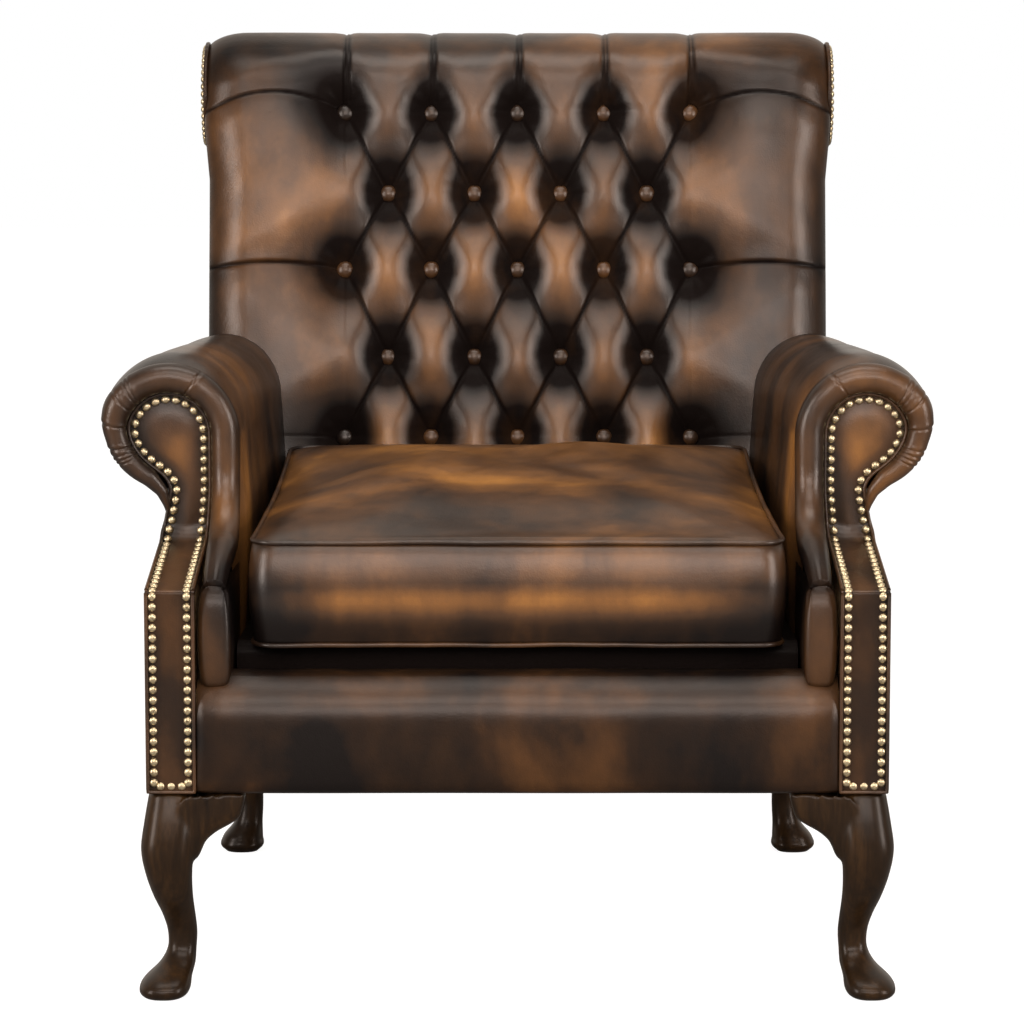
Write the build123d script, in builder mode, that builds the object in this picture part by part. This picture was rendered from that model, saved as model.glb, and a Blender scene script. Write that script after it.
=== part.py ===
from build123d import *
import os
from math import acos, atan2, ceil, cos, hypot, pi, radians, sin, sqrt, tan

# Scroll-arm library chair with a deep-buttoned back, in millimetres.
# The sitter faces -Y, +X is the viewer's right, and the feet stand on z = 0.
# Depths run backwards from the front face of the arm posts.

os.makedirs("parts", exist_ok=True)

# Stance
leg_height = 212.0
seat_depth = 700.0
toe_overhang = 28.0
frame_lean = radians(7.56)
overrun = 200.0
clearance = 0.3

# Hardwood frame
rail_height = 100.0
rail_thickness = 28.0
rail_setback = 20.0
post_outer = 377.0
post_width = 51.0
post_depth = 50.0
post_shoulder = 2.0
arm_taper = 22.0
back_post_width = 28.0
back_post_depth = 38.0
back_post_top = 850.0
crest_height = 72.0
tacking_rail_height = 45.0
tacking_rail_rise = 40.0
arm_rail_width = 20.0
arm_rail_height = 40.0
arm_rail_drop = 32.0
slat_height = 40.0
slat_rise = 20.0
block_leg = 60.0
block_inset = 10.0

# Leather over board
facing_thickness = 10.0
panel_thickness = 12.0
flare_height = 430.0
arm_flare = 12.0

# Scroll of the arm
scroll_x = 361.0
scroll_z = 562.0
scroll_radius = 44.5
waist_radius = 18.0
neck_inner = 320.0
neck_outer = 370.0
scroll_lobe_turn = radians(-36.0)
scroll_setback = 140.0
slope_front_z = 420.0
slope_rear_z = 455.0
slope_fillet = 22.0
stump_inset = 4.5
stump_thickness = 28.0
border_radius = 14.5
border_gap = 0.5
border_bend = 45.0
border_end = 12.0
border_lift = 16.0
border_sides = 10
ring_start = radians(-70.0)
ring_flats = 14
bend_flats = 4

# Inside arm and its roll
roll_x_front = 361.0
roll_x_rear = 328.0
roll_z_front = 566.0
roll_z_rear = 541.5
roll_half_width = 72.0
roll_half_height = 78.0
roll_rear_share = 0.883
roll_turn = radians(270.0)
roll_sides = 18
arm_draw_in = 4.0
arm_wall = 40.0
puff_width = 35.0
puff_setback = 3.0
puff_fillet = 11.0

# Seat platform
web_thickness = 2.5
web_width = 50.0
web_count = 5
deck_height = 41.0
deck_setback = 62.0
deck_fillet = 14.0
deck_side_gap = 1.5
border_lip = 15.0
front_border_proud = 3.0
front_border_radius = 20.0
cover_thickness = 1.5
cover_margin = 12.0

# Inside back
tuck_depth = 600.0
tuck_height = 470.0
back_lean = radians(12.0)
back_foot = 318.0
back_top = 950.0
back_roll_radius = 72.0
back_shoulder_z = 560.0
back_half_low = 354.0
back_half_high = 356.0
back_flare_z = 850.0
back_corner_radius = 22.0
back_web_count = 6
back_web_first = 380.0
back_web_pitch = 82.0
outside_back_top = 815.0

# Buttoning
button_pitch = 98.8
row_heights = [499.6, 590.0, 688.3, 774.2, 865.2]
tuft_depth = 20.0
slab_depth = 60.0
button_radius = 9.0
button_rim = 3.0
button_crown = 3.5
button_taper = 40.0
button_sink = 3.0
button_sides = 8
puff_sides = 4
side_pleat_share = 0.2
side_pleat_overrun = 17.0
top_pleat_share = 0.35
roll_groove_turn = 170.0

# Scroll facing of the back
back_facing_radius = 62.0
back_facing_thickness = 5.0
back_facing_sides = 36

# Seat cushion
cushion_gap = 0.3
cushion_bottom_width = 538.0
cushion_taper = 14.0
cushion_depth = 546.0
cushion_setback = 26.0
cushion_height = 110.0
cushion_crown = 20.0
crown_flats = 8
cushion_draw_in = 4.0
cushion_corner_radius = 26.0
cover_wall = 3.0
piping_radius = 2.4
piping_sides = 6
zip_length = 420.0
zip_tape_width = 30.0
zip_tape_thickness = 1.2
zip_chain_width = 6.0
zip_chain_height = 1.6
zip_margin = 14.0
slider_length = 11.0
slider_width = 9.0
slider_wall = 1.4
lug_width = 1.2
pin_gap = 0.5
pin_fit = 0.06
pull_length = 18.0
pull_width = 6.0
pull_thickness = 1.2
pull_pin_radius = 0.8

# Nails and piping
nail_radius = 4.2
nail_height = 2.6
nail_inset = 8.0
nail_pitch = 10.5
nail_margin = 2.0
bottom_nails = 2
back_nail_pitch = 8.7
nail_sides = 5
welt_width = 3.2
welt_inset = 0.3
welt_height = 2.6

# Legs: shares of the leg height, then centre and size across and along, in
# shares of the knee width.
knee_width = 54.0
front_leg_x = 357.0
front_leg_depth = 26.0
front_leg_shares = [
    (1.000, -0.08, -0.04, 0.84, 0.88),
    (0.850, -0.05, -0.16, 0.98, 1.00),
    (0.720, 0.00, -0.24, 1.00, 1.00),
    (0.600, -0.02, -0.22, 0.88, 0.90),
    (0.480, -0.09, -0.08, 0.74, 0.78),
    (0.380, -0.18, 0.10, 0.62, 0.66),
    (0.280, -0.24, 0.20, 0.56, 0.58),
    (0.200, -0.22, 0.16, 0.56, 0.60),
    (0.140, -0.14, 0.00, 0.70, 0.76),
    (0.085, 0.02, -0.24, 0.90, 1.04),
    (0.030, 0.08, -0.34, 0.96, 1.16),
    (0.000, 0.08, -0.34, 0.72, 0.92),
]
rear_leg_width = 44.0
rear_leg_x = 321.0
rear_leg_depth = 678.0
rear_leg_shares = [
    (1.000, 0.00, 0.00, 1.00, 0.96),
    (0.700, -0.10, 0.10, 0.82, 0.82),
    (0.420, -0.18, 0.26, 0.68, 0.68),
    (0.240, -0.20, 0.34, 0.64, 0.64),
    (0.150, -0.12, 0.32, 0.76, 0.76),
    (0.075, 0.02, 0.24, 1.06, 1.04),
    (0.025, 0.04, 0.22, 1.10, 1.08),
    (0.000, 0.04, 0.22, 0.84, 0.84),
]
leg_corner_share = 0.32
leg_corner_flats = 3
ear_reach = 50.0
ear_height = 34.0
ear_thickness = 24.0
ear_step = 9.0
bolt_radius = 4.0
bolt_sides = 12
bolt_length = 80.0
bolt_in_leg = 38.0
bolt_hole_gap = 0.1

# Worked-out places
roll_centre_z = back_top - back_roll_radius
roll_run = (roll_centre_z - tuck_height + back_roll_radius * sin(back_lean)) / cos(back_lean)
roll_centre_depth = tuck_depth + roll_run * sin(back_lean) + back_roll_radius * cos(back_lean)
front_y = -(roll_centre_depth + back_roll_radius - toe_overhang) / 2
rail_top = leg_height + rail_height
web_top = rail_top + 2 * web_thickness
post_inner = post_outer - post_width
wood_inner = post_inner + post_shoulder
wood_outer = post_outer - panel_thickness
waist_centre_x = scroll_x + waist_radius
waist_centre_z = scroll_z - sqrt((scroll_radius + waist_radius) ** 2 - waist_radius**2)
border_ring = scroll_radius + border_gap + border_radius
border_depth = scroll_setback + facing_thickness - border_radius - border_gap
scroll_back = scroll_setback + facing_thickness
roll_base_z = roll_z_front - roll_half_height
deck_top = web_top + deck_height
cushion_bottom = deck_top + cushion_gap
cushion_half = cushion_bottom_width / 2
cushion_top = cushion_bottom + cushion_height
cushion_rear = cushion_setback + cushion_depth
slope_run = (slope_rear_z - slope_front_z) / scroll_setback


def y_at(depth):
    """Y of a plane that lies this far behind the front of the posts."""
    return front_y + depth


def outside_depth(z):
    """Depth of the outside back's rear face at a height."""
    return seat_depth + (z - leg_height) * tan(frame_lean)


def arm_outer(depth):
    """X of the outside arm panel's outer face at a depth."""
    return post_outer - arm_taper * depth / seat_depth


back_post_outer = arm_outer(outside_depth(roll_base_z)) - panel_thickness - clearance
back_post_inner = back_post_outer - back_post_width


def front_plane(depth):
    """Upright plane across the chair, drawn in X and Z, facing forwards."""
    return Plane(origin=(0, y_at(depth), 0), x_dir=(1, 0, 0), z_dir=(0, -1, 0))


def side_plane(x):
    """Upright plane along the chair, drawn in Y and Z, facing right."""
    return Plane.YZ.offset(x)


def block(x_range, depth_range, z_range, mode=Mode.ADD):
    """Add a straight-sided member between three pairs of limits."""
    x_low, x_high = sorted(x_range)
    y_low, y_high = (y_at(depth) for depth in sorted(depth_range))
    z_low, z_high = sorted(z_range)
    centre = ((x_low + x_high) / 2, (y_low + y_high) / 2, (z_low + z_high) / 2)
    with Locations(centre):
        Box(x_high - x_low, y_high - y_low, z_high - z_low, mode=mode)


def profile_face(plane, points):
    """Flat face through a closed list of points on a plane."""
    with BuildSketch(plane) as outline:
        with BuildLine():
            Polyline(*points, close=True)
        make_face()
    return outline.sketch


def side_prism(points, x_range, mode=Mode.ADD):
    """Add a member of one side profile, given in depth and Z, across an X range."""
    x_low, x_high = sorted(x_range)
    drawn = [(y_at(depth), z) for depth, z in points]
    extrude(profile_face(side_plane(x_low), drawn), amount=x_high - x_low, mode=mode)


def plan_prism(points, z_range, mode=Mode.ADD):
    """Add a member of one plan, given in X and depth, across a height range."""
    z_low, z_high = sorted(z_range)
    drawn = [(x, y_at(depth)) for x, depth in points]
    extrude(profile_face(Plane.XY.offset(z_low), drawn), amount=z_high - z_low, mode=mode)


def faceted_loft(rings, mode=Mode.ADD):
    """Add a solid of flat faces through rings of matching corner points."""
    faces = [Face(Wire.make_polygon(rings[0])), Face(Wire.make_polygon(rings[-1]))]
    for low, high in zip(rings, rings[1:]):
        for index in range(len(low)):
            corners = [low[index - 1], low[index], high[index], high[index - 1]]
            faces.append(Face(Wire.make_polygon(corners)))
    add(Solid(Shell(faces)), mode=mode)


def finish(part, name):
    """Label a finished piece and write it as its own file."""
    part.label = name
    export_step(part, f"parts/{name}.step")


sides = (("left", -1), ("right", 1))


def sided(sign, x_range):
    """X range of a piece on one side of the chair."""
    return [sign * x for x in x_range]


def lean_band(z_low, z_high, cover, depth):
    """Side profile of a layer of the leaning back, between two heights."""
    return [
        (outside_depth(z_low) - cover - depth, z_low),
        (outside_depth(z_high) - cover - depth, z_high),
        (outside_depth(z_high) - cover, z_high),
        (outside_depth(z_low) - cover, z_low),
    ]


# Seat frame
with BuildPart() as front_rail:
    block((-wood_inner, wood_inner), (rail_setback, rail_setback + rail_thickness), (leg_height, rail_top))
finish(front_rail.part, "front_rail")

with BuildPart() as rear_rail:
    side_prism(
        lean_band(leg_height, rail_top, panel_thickness, rail_thickness),
        (-back_post_inner, back_post_inner),
    )
finish(rear_rail.part, "rear_rail")

# The space behind the front face of the back posts, which trims what runs into them.
with BuildPart() as post_space:
    side_prism(
        lean_band(0, back_top, panel_thickness + back_post_depth - overrun, overrun),
        (-post_outer - overrun, post_outer + overrun),
    )
with BuildPart() as web_space:
    side_prism(
        lean_band(0, back_top, panel_thickness + back_post_depth + web_thickness - overrun, overrun),
        (-post_outer - overrun, post_outer + overrun),
    )
with BuildPart() as cover_space:
    side_prism(
        lean_band(0, back_top, panel_thickness - overrun, overrun),
        (-post_outer - overrun, post_outer + overrun),
    )


def side_rail_face(depth, inward):
    """Point on a plan line that runs along the outside arm, set inwards."""
    return (arm_outer(depth) - panel_thickness - inward, depth)


side_rails = {}
for side, sign in sides:
    with BuildPart() as side_rail:
        corners = [
            side_rail_face(post_depth, 0),
            side_rail_face(seat_depth, 0),
            side_rail_face(seat_depth, rail_thickness),
            side_rail_face(post_depth, rail_thickness),
        ]
        plan_prism([(sign * x, depth) for x, depth in corners], (leg_height, rail_top))
        add(post_space.part, mode=Mode.SUBTRACT)
    side_rails[side] = side_rail.part
    finish(side_rail.part, f"{side}_side_rail")

# Outside arms, and the arm frame inside them
def outside_arm_section(depth, sign):
    """Face of the outside arm panel at a depth."""
    share = (depth - scroll_back) / (seat_depth - scroll_back)
    rear_base = roll_z_rear - roll_half_height * roll_rear_share
    top = roll_base_z + share * (rear_base - roll_base_z) - clearance
    outer = arm_outer(depth)
    flare_in = arm_flare * (1 - depth / seat_depth)
    points = [
        (outer, leg_height),
        (outer, flare_height),
        (outer - flare_in, top),
        (outer - flare_in - panel_thickness, top),
        (outer - panel_thickness, flare_height),
        (outer - panel_thickness, leg_height),
    ]
    return profile_face(front_plane(depth), [(sign * x, z) for x, z in points])


mitre_z = slope_front_z - facing_thickness + facing_thickness * slope_run
outside_arms = {}
for side, sign in sides:
    with BuildPart() as outside_arm:
        ends = (facing_thickness, seat_depth + overrun / 2)
        loft([outside_arm_section(depth, sign) for depth in ends])
        side_prism(
            [
                (0, mitre_z - facing_thickness * slope_run),
                (scroll_back, mitre_z + scroll_setback * slope_run),
                (scroll_back, slope_rear_z + overrun),
                (0, slope_rear_z + overrun),
            ],
            sided(sign, (0, post_outer + overrun)),
            mode=Mode.SUBTRACT,
        )
        add(cover_space.part, mode=Mode.SUBTRACT)
    outside_arms[side] = outside_arm.part
    finish(outside_arm.part, f"{side}_outside_arm")

def scroll_points(inset):
    """Named points of the scroll outline, drawn inset from the facing's edge."""
    radius = scroll_radius - inset
    reach = scroll_radius + waist_radius
    join_x = scroll_x + (waist_centre_x - scroll_x) * radius / reach
    join_z = scroll_z + (waist_centre_z - scroll_z) * radius / reach
    hollow = waist_radius + inset
    turn = pi - 0.5 * atan2(scroll_z - waist_centre_z, waist_centre_x - scroll_x)
    return {
        "inner_foot": (neck_inner + inset, slope_rear_z),
        "inner_waist": (scroll_x - radius, waist_centre_z),
        "inner": (scroll_x - radius, scroll_z),
        "top": (scroll_x, scroll_z + radius),
        "outer": (scroll_x + radius, scroll_z),
        "lobe": (scroll_x + radius * cos(scroll_lobe_turn), scroll_z + radius * sin(scroll_lobe_turn)),
        "join": (join_x, join_z),
        "hollow": (waist_centre_x + hollow * cos(turn), waist_centre_z + hollow * sin(turn)),
        "outer_waist": (waist_centre_x - hollow, waist_centre_z),
        "outer_foot": (neck_outer - inset, slope_rear_z),
    }


def scroll_line(inset, sign):
    """Open outline up the inner side, over the scroll and down the outer side."""
    at = {name: (sign * x, z) for name, (x, z) in scroll_points(inset).items()}
    with BuildLine() as outline:
        Polyline(at["inner_foot"], at["inner_waist"], at["inner"])
        ThreePointArc(at["inner"], at["top"], at["outer"])
        ThreePointArc(at["outer"], at["lobe"], at["join"])
        ThreePointArc(at["join"], at["hollow"], at["outer_waist"])
        Line(at["outer_waist"], at["outer_foot"])
    return outline


def scroll_face(plane, inset, sign, foot):
    """Closed scroll face that runs down to a list of points under its neck."""
    at = scroll_points(inset)
    with BuildSketch(plane) as face:
        with BuildLine():
            add(scroll_line(inset, sign).line)
            points = [at["outer_foot"], *foot, at["inner_foot"]]
            Polyline(*[(sign * x, z) for x, z in points])
        make_face()
    return face.sketch


arm_posts = {}
arm_stumps = {}
for side, sign in sides:
    with BuildPart() as arm_post:
        side_prism(
            [
                (facing_thickness, leg_height),
                (facing_thickness, slope_front_z - facing_thickness + facing_thickness * slope_run),
                (scroll_back, slope_front_z - facing_thickness + scroll_back * slope_run),
                (scroll_back, rail_top),
                (post_depth, rail_top),
                (post_depth, leg_height),
            ],
            sided(sign, (wood_inner, wood_outer - arm_taper * scroll_back / seat_depth)),
        )
        with Locations((sign * front_leg_x, y_at(front_leg_depth), leg_height)):
            Cylinder(bolt_radius + bolt_hole_gap, 2 * bolt_length, mode=Mode.SUBTRACT)
        add(outside_arms[side], mode=Mode.SUBTRACT)
    arm_posts[side] = arm_post.part
    finish(arm_post.part, f"{side}_arm_post")

    with BuildPart() as arm_stump:
        foot = [
            (wood_outer - arm_taper * scroll_back / seat_depth - post_shoulder, rail_top),
            (wood_inner, rail_top),
        ]
        extrude(
            scroll_face(front_plane(scroll_back), stump_inset, sign, foot),
            amount=-stump_thickness,
        )
        add(outside_arms[side], mode=Mode.SUBTRACT)
    arm_stumps[side] = arm_stump.part
    finish(arm_stump.part, f"{side}_arm_stump")

with BuildPart() as corner_blocks:
    front_depth = rail_setback + rail_thickness
    rear_depth = outside_depth(leg_height) - panel_thickness - rail_thickness
    for side, sign in sides:
        reach = arm_outer(front_depth) - panel_thickness - rail_thickness / 2
        plan_prism(
            [
                (sign * reach, front_depth),
                (sign * (reach - block_leg - rail_thickness / 2), front_depth),
                (sign * reach, front_depth + block_leg + rail_thickness / 2),
            ],
            (leg_height + block_inset, rail_top - block_inset),
        )
        plan_prism(
            [
                (sign * back_post_inner, rear_depth + rail_thickness / 2),
                (sign * (back_post_inner - block_leg), rear_depth + rail_thickness / 2),
                (sign * back_post_inner, rear_depth - block_leg),
            ],
            (leg_height + block_inset, rail_top - block_inset),
        )
    for side, sign in sides:
        add(side_rails[side], mode=Mode.SUBTRACT)
        add(arm_posts[side], mode=Mode.SUBTRACT)
    add(rear_rail.part, mode=Mode.SUBTRACT)
finish(corner_blocks.part, "corner_blocks")


back_posts = {}
for side, sign in sides:
    with BuildPart() as back_post:
        side_prism(
            lean_band(leg_height, back_post_top, panel_thickness, back_post_depth),
            sided(sign, (back_post_inner, back_post_outer)),
        )
        with Locations((sign * rear_leg_x, y_at(rear_leg_depth), leg_height)):
            Cylinder(bolt_radius + bolt_hole_gap, 2 * (bolt_length - bolt_in_leg), mode=Mode.SUBTRACT)
    back_posts[side] = back_post.part
    finish(back_post.part, f"{side}_back_post")

with BuildPart() as crest_rail:
    side_prism(
        lean_band(back_post_top - crest_height, back_post_top, panel_thickness, rail_thickness),
        (-back_post_inner, back_post_inner),
    )
finish(crest_rail.part, "crest_rail")

tacking_foot = rail_top + tacking_rail_rise
with BuildPart() as tacking_rail:
    side_prism(
        lean_band(tacking_foot, tacking_foot + tacking_rail_height, panel_thickness, rail_thickness),
        (-back_post_inner, back_post_inner),
    )
finish(tacking_rail.part, "back_tacking_rail")

arm_rails = {}
for side, sign in sides:
    with BuildPart() as arm_rail:
        block(
            sided(sign, (back_post_outer - arm_rail_width, back_post_outer)),
            (scroll_back + stump_thickness, outside_depth(scroll_z)),
            (scroll_z - arm_rail_drop, scroll_z - arm_rail_drop + arm_rail_height),
        )
        add(post_space.part, mode=Mode.SUBTRACT)
    arm_rails[side] = arm_rail.part
    finish(arm_rail.part, f"{side}_arm_rail")

    with BuildPart() as arm_slat:
        block(
            sided(sign, (wood_inner, back_post_outer)),
            (scroll_back + stump_thickness, seat_depth),
            (rail_top + slat_rise, rail_top + slat_rise + slat_height),
        )
        add(post_space.part, mode=Mode.SUBTRACT)
    finish(arm_slat.part, f"{side}_arm_slat")

# Legs
def leg_section(centre, across, along):
    """Corner points of a rectangle with its corners rounded in short flats."""
    corner = leg_corner_share * min(across, along)
    points = []
    for quarter, (x_sign, y_sign) in enumerate(((1, 1), (-1, 1), (-1, -1), (1, -1))):
        for step in range(leg_corner_flats + 1):
            turn = pi / 2 * (quarter + step / leg_corner_flats)
            x = x_sign * (across / 2 - corner) + corner * cos(turn)
            y = y_sign * (along / 2 - corner) + corner * sin(turn)
            points.append((centre[0] + x, centre[1] + y, centre[2]))
    return points


def leg_loft(shares, width, centre_x, centre_depth, sign):
    """Add a leg of rounded sections, each a share of its height and top width."""
    rings = []
    for height, aside, behind, across, along in shares:
        centre_y = y_at(centre_depth + behind * width)
        centre = (sign * (centre_x + aside * width), centre_y, leg_height * height)
        rings.append(leg_section(centre, across * width, along * width))
    faceted_loft(rings)


def ear_points(root):
    """Outline of an ear bracket that reaches from the knee along a rail."""
    foot = leg_height - ear_height
    return [
        (root, leg_height),
        (root - ear_reach, leg_height),
        (root - ear_reach + ear_step, foot + ear_step / 2),
        (root - ear_reach / 2, foot - ear_step),
        (root, leg_height - 2 * ear_height),
    ]


for side, sign in sides:
    with BuildPart() as front_leg:
        leg_loft(front_leg_shares, knee_width, front_leg_x, front_leg_depth, sign)
        root = front_leg_x - knee_width / 4
        ear_front = front_leg_depth - ear_thickness
        drawn = [(sign * x, z) for x, z in ear_points(root)]
        extrude(profile_face(front_plane(ear_front), drawn), amount=-ear_thickness)
        ear_rear = front_leg_depth + knee_width / 4 + root
        behind = [(ear_rear - x, z) for x, z in ear_points(root)]
        side_prism(behind, sided(sign, (front_leg_x - ear_thickness / 2, front_leg_x + ear_thickness / 2)))
        with Locations((sign * front_leg_x, y_at(front_leg_depth), leg_height)):
            Cylinder(bolt_radius + bolt_hole_gap, 2 * bolt_in_leg, mode=Mode.SUBTRACT)
    finish(front_leg.part, f"front_{side}_leg")

    with BuildPart() as rear_leg:
        leg_loft(rear_leg_shares, rear_leg_width, rear_leg_x, rear_leg_depth, sign)
        with Locations((sign * rear_leg_x, y_at(rear_leg_depth), leg_height)):
            Cylinder(bolt_radius + bolt_hole_gap, 2 * bolt_in_leg, mode=Mode.SUBTRACT)
    finish(rear_leg.part, f"rear_{side}_leg")

with BuildPart() as leg_bolts:
    bolt_middle = leg_height - bolt_in_leg + bolt_length / 2
    centres = []
    for side, sign in sides:
        centres.append((sign * front_leg_x, y_at(front_leg_depth), bolt_middle))
        centres.append((sign * rear_leg_x, y_at(rear_leg_depth), bolt_middle))
    for centre in centres:
        with BuildSketch(Plane(origin=centre)) as shank:
            RegularPolygon(bolt_radius, bolt_sides)
        extrude(shank.sketch, amount=bolt_length / 2, both=True)
finish(leg_bolts.part, "leg_bolts")

# Seat suspension
def arm_inner_foot(depth):
    """X of the inside arm at the seat platform."""
    share = (depth - scroll_back) / (seat_depth - scroll_back)
    front = roll_x_front - roll_half_width
    rear = roll_x_rear - roll_half_width * roll_rear_share
    return front + share * (rear - front) - arm_draw_in


web_rear = outside_depth(rail_top) - panel_thickness
with BuildPart() as seat_webbing_long:
    pitch = 2 * (back_post_inner - web_width) / web_count
    for index in range(web_count):
        centre = (index - (web_count - 1) / 2) * pitch
        block(
            (centre - web_width / 2, centre + web_width / 2),
            (rail_setback, web_rear),
            (rail_top, rail_top + web_thickness),
        )
finish(seat_webbing_long.part, "seat_webbing_long")

with BuildPart() as seat_webbing_cross:
    first = scroll_back + stump_thickness + web_width / 2 + border_end
    pitch = (tuck_depth - first) / (web_count - 1)
    for index in range(web_count):
        centre = first + index * pitch
        reach = arm_outer(centre + web_width) - panel_thickness
        block(
            (-reach, reach),
            (centre - web_width / 2, centre + web_width / 2),
            (rail_top + web_thickness, web_top),
        )
finish(seat_webbing_cross.part, "seat_webbing_cross")

with BuildPart() as seat_deck:
    deck_rear = tuck_depth - clearance
    corners = [
        (arm_inner_foot(deck_setback) - deck_side_gap, deck_setback),
        (arm_inner_foot(deck_rear) - deck_side_gap, deck_rear),
    ]
    left_corners = [(-x, depth) for x, depth in reversed(corners)]
    plan_prism(corners + left_corners, (web_top, deck_top))
    fillet(seat_deck.edges().filter_by(Axis.X).sort_by(Axis.Y)[:2].sort_by(Axis.Z)[-1:], deck_fillet)
finish(seat_deck.part, "seat_deck")

with BuildPart() as dust_cover:
    cover_front = rail_setback + cover_margin
    cover_rear = outside_depth(leg_height) - panel_thickness - cover_thickness
    leg_front = rear_leg_depth - rear_leg_width / 2 - cover_margin
    leg_inner = rear_leg_x - rear_leg_width / 2 - cover_margin
    corners = [
        (wood_inner - cover_margin, cover_front),
        (wood_inner - cover_margin, leg_front),
        (leg_inner, leg_front),
        (leg_inner, cover_rear),
    ]
    left_corners = [(-x, depth) for x, depth in reversed(corners)]
    plan_prism(corners + left_corners, (leg_height - cover_thickness, leg_height))
finish(dust_cover.part, "dust_cover")

web_reach = back_post_outer - arm_rail_width - clearance
with BuildPart() as back_webbing:
    for index in range(back_web_count):
        low = back_web_first + index * back_web_pitch - web_width / 2
        side_prism(
            lean_band(low, low + web_width, panel_thickness + back_post_depth, web_thickness),
            (-web_reach, web_reach),
        )
finish(back_webbing.part, "back_webbing")

# Leather-covered panels and borders
with BuildPart() as front_border:
    with BuildSketch(side_plane(-post_inner + clearance)) as border_profile:
        with BuildLine():
            Polyline(
                (y_at(-front_border_proud), leg_height),
                (y_at(-front_border_proud), web_top + border_lip),
                (y_at(deck_setback - clearance), web_top + border_lip),
                (y_at(deck_setback - clearance), web_top),
                (y_at(rail_setback), web_top),
                (y_at(rail_setback), leg_height),
                close=True,
            )
        make_face()
        top_corner = (y_at(-front_border_proud), web_top + border_lip)
        fillet(border_profile.vertices().sort_by_distance(top_corner)[:1], front_border_radius)
    extrude(border_profile.sketch, amount=2 * (post_inner - clearance), mode=Mode.ADD)
finish(front_border.part, "front_border")

arm_facings = {}
for side, sign in sides:
    with BuildPart() as post_facing:
        side_prism(
            [
                (0, leg_height),
                (0, slope_front_z),
                (facing_thickness, mitre_z),
                (facing_thickness, leg_height),
            ],
            sided(sign, (post_inner, post_outer)),
        )
    finish(post_facing.part, f"{side}_post_facing")

    with BuildPart() as arm_facing:
        with BuildSketch(side_plane(sign * (scroll_x + scroll_radius))) as strip:
            with BuildLine():
                Polyline(
                    (y_at(0), slope_front_z),
                    (y_at(scroll_setback), slope_rear_z),
                    (y_at(scroll_setback), scroll_z + scroll_radius + overrun),
                    (y_at(scroll_back), scroll_z + scroll_radius + overrun),
                    (y_at(scroll_back), mitre_z + scroll_setback * slope_run),
                    (y_at(facing_thickness), mitre_z),
                    close=True,
                )
            make_face()
            bend = (y_at(scroll_setback), slope_rear_z)
            fillet(strip.vertices().sort_by_distance(bend)[:1], slope_fillet)
        extrude(strip.sketch, amount=-sign * overrun, mode=Mode.ADD)
        foot = [
            (post_outer, slope_front_z),
            (post_outer, mitre_z),
            (post_inner, mitre_z),
            (post_inner, slope_front_z),
        ]
        outline = scroll_face(front_plane(0), 0, sign, foot)
        extrude(outline, amount=-overrun, mode=Mode.INTERSECT)
    arm_facings[side] = arm_facing.part
    finish(arm_facing.part, f"{side}_arm_facing")

with BuildPart() as outside_back:
    side_prism(
        lean_band(leg_height, outside_back_top, 0, panel_thickness),
        (-back_half_low, back_half_low),
    )
finish(outside_back.part, "outside_back")

for side, sign in sides:
    with BuildPart() as side_strip:
        side_prism(
            lean_band(roll_base_z, back_post_top, panel_thickness, back_post_depth),
            sided(sign, (back_post_outer, back_half_low)),
        )
    finish(side_strip.part, f"{side}_back_side")


# Inside arms
def arm_section(depth, grow):
    """Face of the inside arm and its roll at a depth, grown outwards."""
    share = (depth - scroll_back) / (seat_depth - scroll_back)
    scale = 1 + share * (roll_rear_share - 1)
    centre_x = roll_x_front + share * (roll_x_rear - roll_x_front)
    centre_z = roll_z_front + share * (roll_z_rear - roll_z_front)
    half_width = roll_half_width * scale + grow
    half_height = roll_half_height * scale + grow
    foot_x = arm_inner_foot(depth) - grow
    wall_x = foot_x + arm_wall + 2 * grow
    foot_z = web_top + clearance - grow
    roll = []
    for index in range(roll_sides + 1):
        angle = pi - roll_turn * index / roll_sides
        roll.append((centre_x + half_width * cos(angle), centre_z + half_height * sin(angle)))
    wall = [(wall_x, centre_z - half_height), (wall_x, foot_z), (foot_x, foot_z)]
    return profile_face(front_plane(depth), roll + wall)


arm_rear = outside_depth(back_shoulder_z)
with BuildPart() as arm_form:
    loft([arm_section(scroll_back, 0), arm_section(arm_rear, 0)])
with BuildPart() as arm_clearance_form:
    loft([arm_section(scroll_back, clearance), arm_section(arm_rear, clearance)])

puff_outer = post_inner - post_shoulder
bend_z = slope_rear_z + border_lift
tube_front_z = bend_z - (border_depth - border_end) * slope_run
with BuildPart() as right_arm_pad:
    add(arm_form.part)
    puff_top = tube_front_z - border_radius * sqrt(1 + slope_run**2) - clearance
    puff_run = [(puff_setback, puff_top - (border_end - puff_setback) * slope_run)]
    puff_run.append((scroll_back, puff_top + (scroll_back - border_end) * slope_run))
    side_prism(
        [
            (puff_setback, web_top + border_lip + clearance),
            *puff_run,
            (scroll_back, web_top + clearance),
            (deck_setback, web_top + clearance),
            (deck_setback, web_top + border_lip + clearance),
        ],
        (puff_outer - puff_width, puff_outer),
    )
    front_edges = right_arm_pad.edges().filter_by(Axis.Z).group_by(Axis.Y)[0]
    fillet(front_edges, puff_fillet)
    add(arm_stumps["right"], mode=Mode.SUBTRACT)
    add(arm_rails["right"], mode=Mode.SUBTRACT)
    side_prism(
        [
            (0, mitre_z - facing_thickness * slope_run),
            (scroll_back, mitre_z + scroll_setback * slope_run),
            (scroll_back, slope_rear_z + overrun),
            (0, slope_rear_z + overrun),
        ],
        (neck_inner - clearance, post_outer),
        mode=Mode.SUBTRACT,
    )
    add(web_space.part, mode=Mode.SUBTRACT)

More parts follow.
